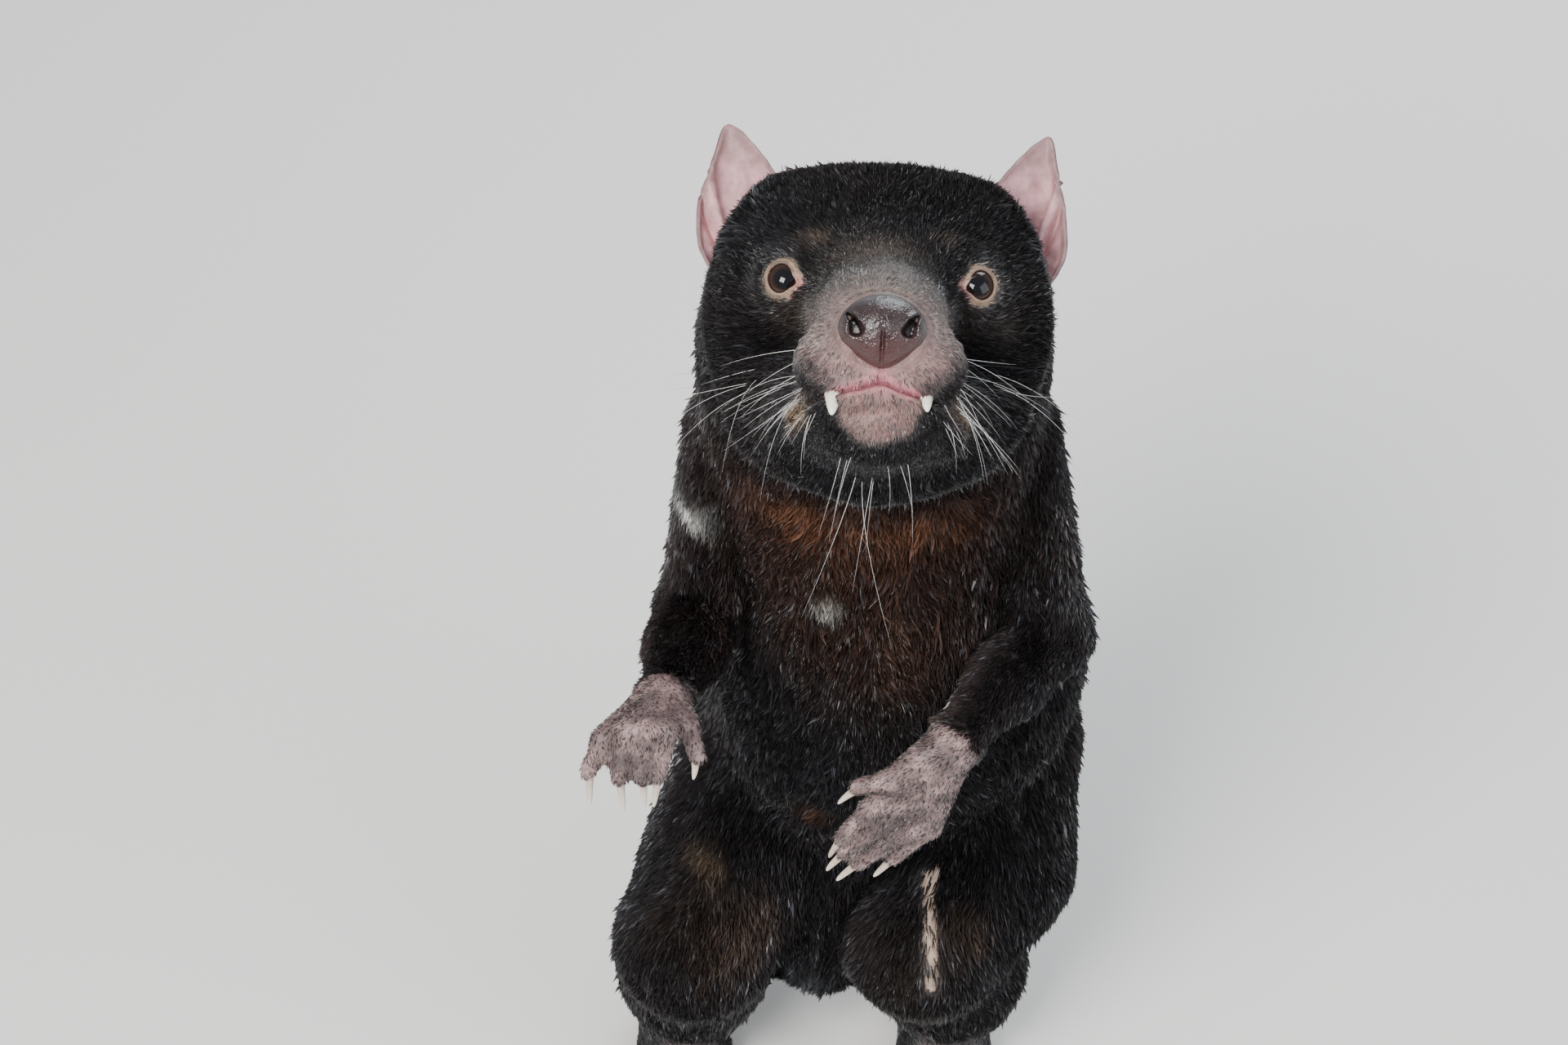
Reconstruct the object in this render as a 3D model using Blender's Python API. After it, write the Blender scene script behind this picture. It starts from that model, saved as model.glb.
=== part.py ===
"""A tasmanian devil standing upright and looking up: a still, life-size model.

Every named part of the body is one closed solid, out to the tips of the short coat.
Shapes are worked out in millimetres in the animal's own frame: it faces -Y, +X is its left side,
and the floor is z = 0. The finished solids are set down in metres, with the origin on the floor
at the middle of the whole model's box.
"""
import math

import bpy
import bmesh
import numpy as np
from mathutils import Matrix, Vector

# Driving dimensions, in millimetres
MM = 0.001
GAP = 0.3                         # clearance where one part meets the next

EYE_LEVEL = (0.0, -75.0, 500.0)   # midpoint between the eyes: the head is placed and turned about it
HEAD_PITCH = 52.0                 # degrees that the muzzle points above the horizon
HEAD_ROLL = 2.0                   # degrees that the head leans to its left

EYE_OUT = 33.8                    # half the distance between the eyes
EYE_IN_FACE = -3.0                # the eyeball's centre lies this far behind the eye line
EYE_RADIUS = 8.4
EYE_TURN = 20.0                   # degrees that each eye looks outwards
LID_RING = (8.2, 9.2)             # half width and half height of the line along the lids
LID_THICKNESS = 2.4
LID_PLANE = 4.9                   # the lids' line lies this far in front of the eyeball's centre

NOSE_CENTRE = (0.0, 56.0, -27.0)
NOSE_RADII = (15.0, 9.5, 12.5)
NOSTRIL = (9.0, 63.6, -30.2)

MOUTH_CENTRE_Y = 6.0              # the line of the mouth is drawn round this point inside the muzzle
MOUTH_HALF_ANGLE = 68.0
MOUTH_FRONT_Z = -46.0
MOUTH_DROP = {"r": 9.0, "l": 10.5}     # each corner lies this much lower than the front
MOUTH_BEND = {"r": 1.1, "l": 0.75}     # the left lip hangs lower near the front
MOUTH_DEPTH = 4.5
MOUTH_WIDTH = 1.1
LIP_RADIUS = 3.0
CANINE = {"r": (3.9, 7.5), "l": (3.0, 5.0)}   # radius, and how far each tooth hangs below the lip

EAR_THICKNESS = 1.9
EAR_CUP = 8.0                     # how far the ear's middle is pushed back behind its edges
EAR_ROOT_THICKNESS = 5.5          # how much thicker the ear is where it grows from the head
# Where each ear grows from the head, and its free edge from the crown round the tip to the cheek
EAR_ROOT = [(40, -40, 37), (44, -39, 30), (48, -37, 20), (52, -35, 11), (55, -33, 4)]
EAR_EDGE = {"r": [(38, -43, 46), (47, -48, 58), (58.5, -51, 68), (63.5, -49, 54),
                  (68, -45, 36), (67, -40, 19), (60, -33, 6)],
            "l": [(42, -43, 46), (51, -48, 57), (62.5, -51, 67), (66, -49, 53),
                  (68.5, -45, 38), (69, -40, 20), (62, -33, 6)]}

SHOULDER = (51.0, -10.0, 366.0)
ELBOW = {"r": (-68.5, -36.0, 288.0), "l": (73.0, -34.0, 274.0)}
WRIST = {"r": (-81.0, -105.0, 313.0), "l": (35.0, -97.0, 281.0)}
HIP = {"r": (-36.0, 14.0, 160.0), "l": (54.0, 12.0, 162.0)}
HAUNCH = {"r": (-55.0, -18.0, 114.0), "l": (52.0, -18.0, 112.0)}
KNEE = {"r": (-74.0, -52.0, 96.0), "l": (26.0, -53.0, 98.0)}
CALF = {"r": (-76.0, -36.0, 60.0), "l": (40.0, -34.0, 58.0)}
ANKLE = {"r": (-80.0, -22.0, 32.0), "l": (38.0, -20.0, 32.0)}

BETWEEN_LEGS = -12.0              # the thighs' roots keep to their own side of this line

# Radii of the limbs out to the tips of the coat
SHOULDER_RADIUS = 25.0
ELBOW_RADIUS = 18.5
FOREARM_RADIUS = 17.0
WRIST_RADIUS = 10.5
HIP_RADIUS = 43.0
HAUNCH_RADIUS = 41.0
KNEE_RADIUS = 36.0
CALF_RADIUS = 33.5
ANKLE_RADIUS = 26.0
HEEL_RADIUS = 13.0

# Each fore digit: knuckle, end of the digit and tip of the claw, thumb first
DIGITS = {
    "r": [((-72, -125, 317), (-68, -134, 310), (-70, -139, 301)),
          ((-79, -135, 326), (-83, -145, 311), (-85, -148, 295)),
          ((-87, -136, 327), (-89, -145, 310), (-88, -148, 296)),
          ((-95, -135, 325), (-98, -144, 309), (-96, -148, 293)),
          ((-104, -132, 318), (-110, -141, 309), (-109, -146, 294))],
    "l": [((8, -111, 270), (-6, -113, 268), (-14, -114, 258)),
          ((0, -112, 254), (-12, -115, 239), (-17, -113, 224)),
          ((6, -112, 245), (-11, -115, 230), (-18, -114, 217)),
          ((15, -111, 240), (-5, -115, 224), (-14, -115, 212)),
          ((24, -107, 237), (9, -112, 223), (1, -113, 212))],
}
KNUCKLE_RADIUS = 5.6
DIGIT_RADIUS = 3.9
FORE_CLAW_RADIUS = 1.8

FOOT_TOES = (-13.0, -4.6, 4.2, 12.4)   # the four toes' places across the hind foot
FOOT_BALL_Y = -56.0
FOOT_TOE_Y = -75.0
TOE_RADIUS = 5.2
HIND_CLAW_RADIUS = 1.7
HIND_CLAW_LENGTH = 11.0

TAIL = [((-12, 52, 150), 30), ((-13, 84, 120), 24), ((-13, 118, 84), 19.5),
        ((-12, 152, 48), 15.5), ((-10, 186, 20), 12), ((-9, 212, 9.2), 9.4), ((-8, 240, 5.2), 4.8)]

# Colours: red, green and blue, then roughness
COAT = ((0.020, 0.017, 0.016), 0.60)
SKIN = ((0.42, 0.27, 0.25), 0.50)
EAR_SKIN = ((0.62, 0.36, 0.37), 0.50)
NOSE_SKIN = ((0.045, 0.028, 0.030), 0.25)
EYE_GLASS = ((0.030, 0.012, 0.006), 0.08)
IVORY = ((0.66, 0.58, 0.46), 0.35)

SIDES = (("r", -1.0), ("l", 1.0))


def vec(*values):
    """A point or direction as an array of floats."""
    return np.array(values[0] if len(values) == 1 else values, dtype=float)


def unit(v):
    """The direction of v."""
    v = vec(v)
    return v / np.linalg.norm(v)


# The head's own frame: x to the animal's left, y along the muzzle, z towards the crown
_pitch = math.radians(HEAD_PITCH)
_roll = math.radians(HEAD_ROLL)
_ahead = vec(0, -math.cos(_pitch), math.sin(_pitch))
_crown = vec(0, math.sin(_pitch), math.cos(_pitch))
_left = vec(1, 0, 0)
HEAD_AXES = np.array([_left * math.cos(_roll) - _crown * math.sin(_roll),
                      _ahead,
                      _crown * math.cos(_roll) + _left * math.sin(_roll)])


def head_point(p):
    """A point of the head's frame in the animal's frame."""
    return vec(EYE_LEVEL) + vec(p) @ HEAD_AXES


class Egg:
    """An ellipsoid with its three radii along the rows of axes."""

    def __init__(self, centre, radii, axes=None):
        self.centre = vec(centre)
        self.radii = vec(radii)
        self.axes = np.eye(3) if axes is None else np.asarray(axes, dtype=float)

    def distance(self, points):
        local = (points - self.centre) @ self.axes.T
        near = np.linalg.norm(local / self.radii, axis=1)
        slope = np.linalg.norm(local / self.radii ** 2, axis=1)
        return near * (near - 1.0) / np.maximum(slope, 1e-9)

    def balls(self):
        return [(self.centre, self.radii, self.axes)]


class Bone:
    """A rod with round ends that tapers from one radius to another."""

    def __init__(self, start, end, start_radius, end_radius):
        self.start = vec(start)
        self.end = vec(end)
        self.start_radius = start_radius
        self.end_radius = end_radius

    def distance(self, points):
        along = self.end - self.start
        t = np.clip((points - self.start) @ along / (along @ along), 0.0, 1.0)
        centre = self.start + t[:, None] * along
        radius = self.start_radius + t * (self.end_radius - self.start_radius)
        return np.linalg.norm(points - centre, axis=1) - radius

    def balls(self):
        length = np.linalg.norm(self.end - self.start)
        count = max(2, int(math.ceil(length / (0.45 * min(self.start_radius, self.end_radius)))) + 1)
        made = []
        for t in np.linspace(0.0, 1.0, count):
            radius = self.start_radius + t * (self.end_radius - self.start_radius)
            made.append((self.start + t * (self.end - self.start), vec(radius, radius, radius), np.eye(3)))
        return made


class LidRing:
    """A round bead along the edge of the lids, an oval about the direction that the eye looks in."""

    def __init__(self, centre, axes):
        self.centre = vec(centre)
        self.axes = axes

    def distance(self, points):
        local = (points - self.centre) @ self.axes.T
        wide, tall = LID_RING
        mean = 0.5 * (wide + tall)
        round_off = np.hypot(local[:, 0] * mean / wide, local[:, 2] * mean / tall) - mean
        return np.hypot(round_off, local[:, 1]) - LID_THICKNESS

    def balls(self):
        made = []
        for turn in np.linspace(0.0, 2.0 * math.pi, 24, endpoint=False):
            offset = vec(LID_RING[0] * math.cos(turn), 0.0, LID_RING[1] * math.sin(turn))
            made.append((self.centre + offset @ self.axes, vec([LID_THICKNESS] * 3), np.eye(3)))
        return made


class Body:
    """Forms that flow into one another, each with the width of its blend."""

    def __init__(self):
        self.forms = []

    def add(self, form, blend):
        self.forms.append((form, blend))

    def value(self, points):
        total = None
        for form, blend in self.forms:
            near = form.distance(points)
            if total is None:
                total = near
            else:
                overlap = np.maximum(blend - np.abs(total - near), 0.0) / blend
                total = np.minimum(total, near) - overlap * overlap * blend * 0.25
        return total

    def snap(self, points, steps=4):
        """Move points along the slope onto the surface."""
        points = points.copy()
        small = 0.05
        for _ in range(steps):
            value = self.value(points)
            slope = np.empty_like(points)
            for axis in range(3):
                shift = np.zeros(3)
                shift[axis] = small
                slope[:, axis] = (self.value(points + shift) - self.value(points - shift)) / (2.0 * small)
            steepness = np.maximum((slope ** 2).sum(axis=1), 0.2)
            points -= (value / steepness)[:, None] * slope
        return points

    def reach(self, start, direction, limit=120.0):
        """How far the surface lies from an inner point along a direction."""
        low, high = 0.0, limit
        for _ in range(40):
            middle = 0.5 * (low + high)
            if self.value((start + middle * direction)[None, :])[0] < 0.0:
                low = middle
            else:
                high = middle
        return 0.5 * (low + high)


def clear_scene():
    """Remove every object, so that only this model is in the file."""
    for obj in list(bpy.data.objects):
        bpy.data.objects.remove(obj, do_unlink=True)


def mesh_object(name, bm):
    """An object from a bmesh, which is freed."""
    mesh = bpy.data.meshes.new(name)
    bm.to_mesh(mesh)
    bm.free()
    obj = bpy.data.objects.new(name, mesh)
    bpy.context.scene.collection.objects.link(obj)
    return obj


def apply_modifiers(obj):
    """Replace an object's mesh by what its modifiers make of it."""
    graph = bpy.context.evaluated_depsgraph_get()
    graph.update()
    mesh = bpy.data.meshes.new_from_object(obj.evaluated_get(graph))
    old = obj.data
    obj.modifiers.clear()
    obj.data = mesh
    bpy.data.meshes.remove(old)


def points_of(obj):
    """The points of an object's mesh."""
    points = np.empty(len(obj.data.vertices) * 3)
    obj.data.vertices.foreach_get("co", points)
    return points.reshape(-1, 3)


def set_points(obj, points):
    """Move the points of an object's mesh."""
    obj.data.vertices.foreach_set("co", np.ascontiguousarray(points).ravel())
    obj.data.update()


def remesh(obj, voxel):
    """Replace a mesh by one closed skin of even squares round it."""
    modifier = obj.modifiers.new("even", "REMESH")
    modifier.mode = "VOXEL"
    modifier.voxel_size = voxel
    apply_modifiers(obj)


def surface_of(name, body, forms, voxel, faces):
    """The surface of a body near some of its forms, as a closed mesh of about so many triangles."""
    bm = bmesh.new()
    for form in forms:
        for centre, radii, axes in form.balls():
            place = Matrix.Translation(Vector(centre))
            turn = Matrix(axes.T.tolist()).to_4x4()
            size = Matrix.Diagonal(Vector((*radii, 1.0)))
            bmesh.ops.create_icosphere(bm, subdivisions=2, radius=1.0, matrix=place @ turn @ size)
    obj = mesh_object(name, bm)
    for size in (voxel * 1.3, voxel):
        remesh(obj, size)
        set_points(obj, body.snap(points_of(obj)))
    triangles = 2 * len(obj.data.polygons)
    modifier = obj.modifiers.new("fewer", "DECIMATE")
    modifier.ratio = min(1.0, faces / triangles)
    apply_modifiers(obj)
    return obj


def keep_largest(obj):
    """Keep the largest closed piece of a mesh, as triangles."""
    bm = bmesh.new()
    bm.from_mesh(obj.data)
    bmesh.ops.remove_doubles(bm, verts=bm.verts, dist=0.004)
    bmesh.ops.dissolve_degenerate(bm, edges=bm.edges, dist=0.004)
    bmesh.ops.triangulate(bm, faces=bm.faces)
    seen = set()
    pieces = []
    for first in bm.verts:
        if first in seen:
            continue
        piece = []
        waiting = [first]
        seen.add(first)
        while waiting:
            vert = waiting.pop()
            piece.append(vert)
            for edge in vert.link_edges:
                other = edge.other_vert(vert)
                if other not in seen:
                    seen.add(other)
                    waiting.append(other)
        corners = [v.co for v in piece]
        span = sum(max(c[i] for c in corners) - min(c[i] for c in corners) for i in range(3))
        pieces.append((span, piece))
    pieces.sort(key=lambda item: item[0])
    for _, piece in pieces[:-1]:
        bmesh.ops.delete(bm, geom=piece, context="VERTS")
    bmesh.ops.recalc_face_normals(bm, faces=bm.faces)
    bm.to_mesh(obj.data)
    bm.free()


def cut_with(obj, cutter):
    """Take a closed cutter away from an object and remove the cutter."""
    cutter.hide_render = True
    cutter.display_type = "WIRE"
    modifier = obj.modifiers.new("cut", "BOOLEAN")
    modifier.operation = "DIFFERENCE"
    modifier.solver = "EXACT"
    modifier.object = cutter
    apply_modifiers(obj)
    bpy.data.objects.remove(cutter, do_unlink=True)
    keep_largest(obj)


def grown_copy(obj, amount):
    """A copy of a closed solid, larger by an even amount all round."""
    copy = bpy.data.objects.new(obj.name + "_grown", obj.data.copy())
    bpy.context.scene.collection.objects.link(copy)
    normals = np.empty(len(copy.data.vertices) * 3)
    copy.data.vertices.foreach_get("normal", normals)
    set_points(copy, points_of(copy) + amount * normals.reshape(-1, 3))
    return copy


def half(obj, name, point, normal, keep_ahead):
    """The part of a solid on one side of a plane, closed there, half a gap short of the plane."""
    bm = bmesh.new()
    bm.from_mesh(obj.data)
    normal = unit(normal)
    side = 1.0 if keep_ahead else -1.0
    place = vec(point) + normal * side * GAP * 0.5
    everything = bm.verts[:] + bm.edges[:] + bm.faces[:]
    bmesh.ops.bisect_plane(bm, geom=everything, dist=0.02, plane_co=place.tolist(),
                           plane_no=(normal * side).tolist(), clear_inner=True)
    open_edges = [edge for edge in bm.edges if edge.is_boundary]
    bmesh.ops.holes_fill(bm, edges=open_edges, sides=0)
    made = mesh_object(name, bm)
    keep_largest(made)
    return made


def part_along(obj, names, planes):
    """Part a limb at planes, each facing its far end, into the named lengths."""
    rest = obj
    made = []
    for name, (point, normal) in zip(names, planes):
        made.append(half(rest, name, point, normal, False))
        shorter = half(rest, names[-1], point, normal, True)
        bpy.data.objects.remove(rest, do_unlink=True)
        rest = shorter
    rest.name = names[-1]
    made.append(rest)
    return made


def flatten_on_floor(obj):
    """Cut a limb off level with the floor, which gives it a small flat to stand on."""
    bm = bmesh.new()
    bm.from_mesh(obj.data)
    everything = bm.verts[:] + bm.edges[:] + bm.faces[:]
    bmesh.ops.bisect_plane(bm, geom=everything, dist=0.02, plane_co=(0, 0, 0), plane_no=(0, 0, 1),
                           clear_inner=True)
    bmesh.ops.holes_fill(bm, edges=[edge for edge in bm.edges if edge.is_boundary], sides=0)
    bm.to_mesh(obj.data)
    bm.free()
    keep_largest(obj)


def head_egg(centre, radii):
    """An ellipsoid given in the head's frame."""
    return Egg(head_point(centre), radii, HEAD_AXES)


def head_bone(start, end, start_radius, end_radius):
    """A tapered rod given in the head's frame."""
    return Bone(head_point(start), head_point(end), start_radius, end_radius)


def skull_forms():
    """The head without its lids and lips, each form with the width of its blend."""
    forms = [(head_egg((0, -40, 7), (50, 46, 45)), 10)]
    for _, side in SIDES:
        forms.append((head_egg((side * 19, -40, 7), (41, 44, 42)), 12))
        forms.append((head_egg((side * 37, -40, 22), (17, 24, 25.5)), 9))
        forms.append((head_egg((side * 39, -40, -9), (27, 38, 37)), 12))
        forms.append((head_bone((side * 33, -36, -42), (side * 11, 33, -55), 23, 12.5), 12))
    forms.append((head_bone((0, -20, 3), (0, 38, -25), 30, 21), 14))
    forms.append((head_bone((0, -14, -50), (0, 36, -56), 26, 13.5), 14))
    forms.append((head_egg((0, -32, -44), (44, 36, 32)), 16))
    for _, side in SIDES:
        forms.append((head_egg((side * 13.5, 38, -36), (17.5, 19, 14)), 9))
    return forms


def trunk_forms():
    """The neck and trunk, each form with the width of its blend."""
    return [(Egg((0, -19, 424), (70, 62, 62)), 30),
            (Egg((0, -6, 372), (68, 64, 58)), 30),
            (Egg((1, -2, 325), (62, 66, 64)), 30),
            (Egg((1, -2, 258), (67, 68, 66)), 30),
            (Egg((-2, 8, 196), (66, 64, 60)), 30),
            (Egg((-6, 26, 160), (62, 52, 46)), 30),
            (Egg((-13, 2, 118), (44, 44, 44)), 24),
            (Egg((-18, -27, 86), (31, 35, 45)), 20),
            (Egg((26, 2, 220), (69.5, 58, 80)), 30)]


def eye_axes(side):
    """The frame of one eye: x to the left, y the way it looks, z up."""
    turn = math.radians(EYE_TURN) * side
    look = vec(math.sin(turn), math.cos(turn), 0.0)
    across = vec(math.cos(turn), -math.sin(turn), 0.0)
    return np.array([across, look, vec(0, 0, 1)]) @ HEAD_AXES


def eye_centre(side):
    """The middle of one eyeball in the animal's frame."""
    return head_point((side * EYE_OUT, EYE_IN_FACE, 0.0))


def mouth_line(body):
    """Stations along the mouth: a point on the surface and the way out of the muzzle there."""
    stations = []
    for s in np.linspace(-1.0, 1.0, 23):
        letter = "l" if s > 0.0 else "r"
        angle = math.radians(MOUTH_HALF_ANGLE) * s
        drop = MOUTH_DROP[letter] * abs(s) ** MOUTH_BEND[letter]
        start = head_point((0.0, MOUTH_CENTRE_Y, MOUTH_FRONT_Z - drop))
        outwards = vec(math.sin(angle), math.cos(angle), 0.0) @ HEAD_AXES
        stations.append((s, start + body.reach(start, outwards) * outwards, outwards))
    return stations


def add_lids_and_lips(body, stations):
    """Beads along the edges of the lids and along both lips."""
    for _, side in SIDES:
        axes = eye_axes(side)
        body.add(LidRing(eye_centre(side) + LID_PLANE * axes[1], axes), 3.0)
    up = HEAD_AXES[2]
    for height in (LIP_RADIUS, -LIP_RADIUS):
        for (_, a, out_a), (_, b, out_b) in zip(stations, stations[1:]):
            inset = 0.62 * LIP_RADIUS
            bone = Bone(a - inset * out_a + height * up, b - inset * out_b + height * up,
                        LIP_RADIUS, LIP_RADIUS)
            body.add(bone, 3.0)


def mouth_cutter(stations):
    """A thin ribbon along the line of the mouth."""
    bm = bmesh.new()
    rings = []
    up = HEAD_AXES[2]
    for s, point, outwards in stations:
        half_width = 0.5 * MOUTH_WIDTH * (1.0 - 0.5 * abs(s) ** 3)
        inner = point - outwards * MOUTH_DEPTH * (1.0 - 0.6 * abs(s) ** 4)
        outer = point + outwards * MOUTH_DEPTH * (1.3 - 0.8 * abs(s) ** 3)
        corners = (inner - up * half_width, outer - up * half_width,
                   outer + up * half_width, inner + up * half_width)
        rings.append([bm.verts.new(corner) for corner in corners])
    for ring, following in zip(rings, rings[1:]):
        for i in range(4):
            j = (i + 1) % 4
            bm.faces.new((ring[i], ring[j], following[j], following[i]))
    bm.faces.new(rings[0][::-1])
    bm.faces.new(rings[-1])
    bmesh.ops.recalc_face_normals(bm, faces=bm.faces)
    return mesh_object("mouth_cutter", bm)


def ball_object(name, centre, radii, axes, subdivisions=2):
    """An ellipsoid as a closed mesh."""
    bm = bmesh.new()
    place = Matrix.Translation(Vector(centre))
    turn = Matrix(np.asarray(axes).T.tolist()).to_4x4()
    size = Matrix.Diagonal(Vector((*radii, 1.0)))
    bmesh.ops.create_icosphere(bm, subdivisions=subdivisions, radius=1.0, matrix=place @ turn @ size)
    bmesh.ops.recalc_face_normals(bm, faces=bm.faces)
    return mesh_object(name, bm)


def curved_cone(name, root, tip, radius, bow, grow=0.0, sides=6, rings=4):
    """A claw or tooth: a cone bent sideways by bow, blunt at its root."""
    root, tip, bow = vec(root), vec(tip), vec(bow)
    along = unit(tip - root)
    root = root - along * grow
    across = unit(np.cross(along, bow))
    other = np.cross(across, along)
    bm = bmesh.new()
    made = []
    for i in range(rings):
        t = i / rings
        centre = root + (tip - root) * t + bow * 4.0 * t * (1.0 - t)
        size = radius * (1.0 - t) ** 0.75 + grow
        ring = []
        for j in range(sides):
            turn = 2.0 * math.pi * j / sides
            ring.append(bm.verts.new(centre + size * (across * math.cos(turn) + other * math.sin(turn))))
        made.append(ring)
    point = bm.verts.new(tip + along * grow * 2.0)
    for ring, following in zip(made, made[1:]):
        for j in range(sides):
            k = (j + 1) % sides
            bm.faces.new((ring[j], ring[k], following[k], following[j]))
    for j in range(sides):
        bm.faces.new((made[-1][j], made[-1][(j + 1) % sides], point))
    bm.faces.new(made[0][::-1])
    bmesh.ops.triangulate(bm, faces=bm.faces)
    bmesh.ops.recalc_face_normals(bm, faces=bm.faces)
    return mesh_object(name, bm)


def smooth_curve(points, count):
    """Even steps along a smooth curve through a few points."""
    points = np.asarray(points, dtype=float)
    ends = np.vstack([2 * points[0] - points[1], points, 2 * points[-1] - points[-2]])
    made = []
    for t in np.linspace(0.0, len(points) - 1.0, count):
        i = min(int(t), len(points) - 2)
        f = t - i
        p0, p1, p2, p3 = ends[i:i + 4]
        made.append(0.5 * (2 * p1 + (p2 - p0) * f + (2 * p0 - 5 * p1 + 4 * p2 - p3) * f * f
                           + (3 * p1 - p0 - 3 * p2 + p3) * f ** 3))
    return np.array(made)


def ear(name, edge_line, side):
    """A cupped ear: a blade between its root on the head and its free edge."""
    across, along = 7, 17
    out_and_back = unit((0.25, -1.0, -0.15))
    roots = smooth_curve(EAR_ROOT, along)
    edges = smooth_curve(edge_line, along)
    front = []
    back = []
    for k in range(along):
        v = k / (along - 1)
        deep = math.sin(math.pi * v) ** 0.7
        for i in range(across):
            u = i / (across - 1)
            inwards = (roots[k] - edges[k]) * 0.12 + unit(roots[k] - edges[k]) * 5.0
            sunk = roots[k] + inwards
            point = sunk + (edges[k] - sunk) * u
            push = EAR_CUP * deep * 4.0 * u * (1.0 - u) * (1.15 - 0.5 * u)
            thick = EAR_THICKNESS + EAR_ROOT_THICKNESS * (1.0 - u) ** 2
            thick *= 0.35 + 0.65 * deep
            base = point + out_and_back * push
            front.append(base)
            back.append(base + out_and_back * thick)
    mirror = vec(side, 1.0, 1.0)
    bm = bmesh.new()
    sheets = [[bm.verts.new(head_point(p * mirror)) for p in sheet] for sheet in (front, back)]

    def at(sheet, k, i):
        return sheets[sheet][k * across + i]

    for sheet in (0, 1):
        for k in range(along - 1):
            for i in range(across - 1):
                bm.faces.new((at(sheet, k, i), at(sheet, k + 1, i), at(sheet, k + 1, i + 1)))
                bm.faces.new((at(sheet, k, i), at(sheet, k + 1, i + 1), at(sheet, k, i + 1)))
    for k in range(along - 1):
        for i in (0, across - 1):
            bm.faces.new((at(0, k, i), at(0, k + 1, i), at(1, k + 1, i), at(1, k, i)))
    for i in range(across - 1):
        for k in (0, along - 1):
            bm.faces.new((at(0, k, i), at(0, k, i + 1), at(1, k, i + 1), at(1, k, i)))
    bmesh.ops.triangulate(bm, faces=[face for face in bm.faces if len(face.verts) == 4])
    bmesh.ops.recalc_face_normals(bm, faces=bm.faces)
    return mesh_object(name, bm)


def nose():
    """The bare nose pad with its nostrils and the groove between them."""
    body = Body()
    body.add(head_egg(NOSE_CENTRE, NOSE_RADII), 4)
    for _, side in SIDES:
        body.add(head_egg((side * 8.5, 57.5, -28.5), (7.6, 7.6, 8.2)), 3)
    forms = [form for form, _ in body.forms]
    obj = surface_of("nose", body, forms, 0.8, 330)
    for _, side in SIDES:
        x, y, z = NOSTRIL
        cut_with(obj, ball_object("nostril", head_point((side * x, y, z)), (2.6, 4.2, 2.3), HEAD_AXES, 1))
        cut_with(obj, ball_object("nostril_slit", head_point((side * (x + 2.4), y - 1.0, z + 4.2)),
                                  (1.3, 3.0, 4.0), HEAD_AXES, 1))
    cut_with(obj, ball_object("nose_groove", head_point((0, 65.8, -33)), (0.8, 3.0, 8.0), HEAD_AXES, 1))
    return obj


def build_head_and_trunk():
    """The head with lids and lips, the neck and the trunk, from one flowing body."""
    body = Body()
    trunk = trunk_forms()
    skull = skull_forms()
    for form, blend in trunk + skull:
        body.add(form, blend)
    stations = mouth_line(body)
    add_lids_and_lips(body, stations)
    head_forms = [form for form, _ in skull] + [trunk[0][0]]
    detail = [form for form, _ in body.forms[len(trunk) + len(skull):]]
    whole_head = surface_of("head_whole", body, head_forms + detail, 1.7, 4400)
    whole_trunk = surface_of("trunk_whole", body, [form for form, _ in trunk + skull], 3.2, 1500)

    head_plane = (head_point((0, -58, 0)), HEAD_AXES[1])
    neck_plane = (vec(0, -10, 404), vec(0, -0.25, 0.97))
    head = half(whole_head, "head", *head_plane, True)
    below_head = half(whole_trunk, "below_head", *head_plane, False)
    neck = half(below_head, "neck", *neck_plane, True)
    torso = half(below_head, "torso", *neck_plane, False)
    for spare in (whole_head, whole_trunk, below_head):
        bpy.data.objects.remove(spare, do_unlink=True)
    return head, neck, torso, stations


def finish_head(head, stations):
    """Cut the mouth, seat the eyes, nose and teeth, and set the ears on."""
    cut_with(head, mouth_cutter(stations))
    made = []
    for letter, side in SIDES:
        centre = eye_centre(side)
        axes = eye_axes(side)
        grown = EYE_RADIUS + GAP
        cut_with(head, ball_object("socket", centre, (grown, grown, grown), axes, 3))
        made.append(ball_object("eye_" + letter, centre, (EYE_RADIUS, EYE_RADIUS, EYE_RADIUS), axes, 3))
    pad = nose()
    cut_with(head, grown_copy(pad, GAP))
    made.append(pad)
    for letter, side in SIDES:
        radius, length = CANINE[letter]
        root = head_point((side * 16.0, 45.0, -46.0))
        tip = head_point((side * 16.5, 53.0, -50.0 - length))
        bow = HEAD_AXES[1] * 1.2
        cut_with(head, curved_cone("tooth_socket", root, tip, radius, bow, grow=GAP))
        made.append(curved_cone("tooth_" + letter, root, tip, radius, bow))
    for letter, side in SIDES:
        blade = ear("ear_" + letter, EAR_EDGE[letter], side)
        cut_with(blade, grown_copy(head, GAP))
        made.append(blade)
    return made


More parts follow.
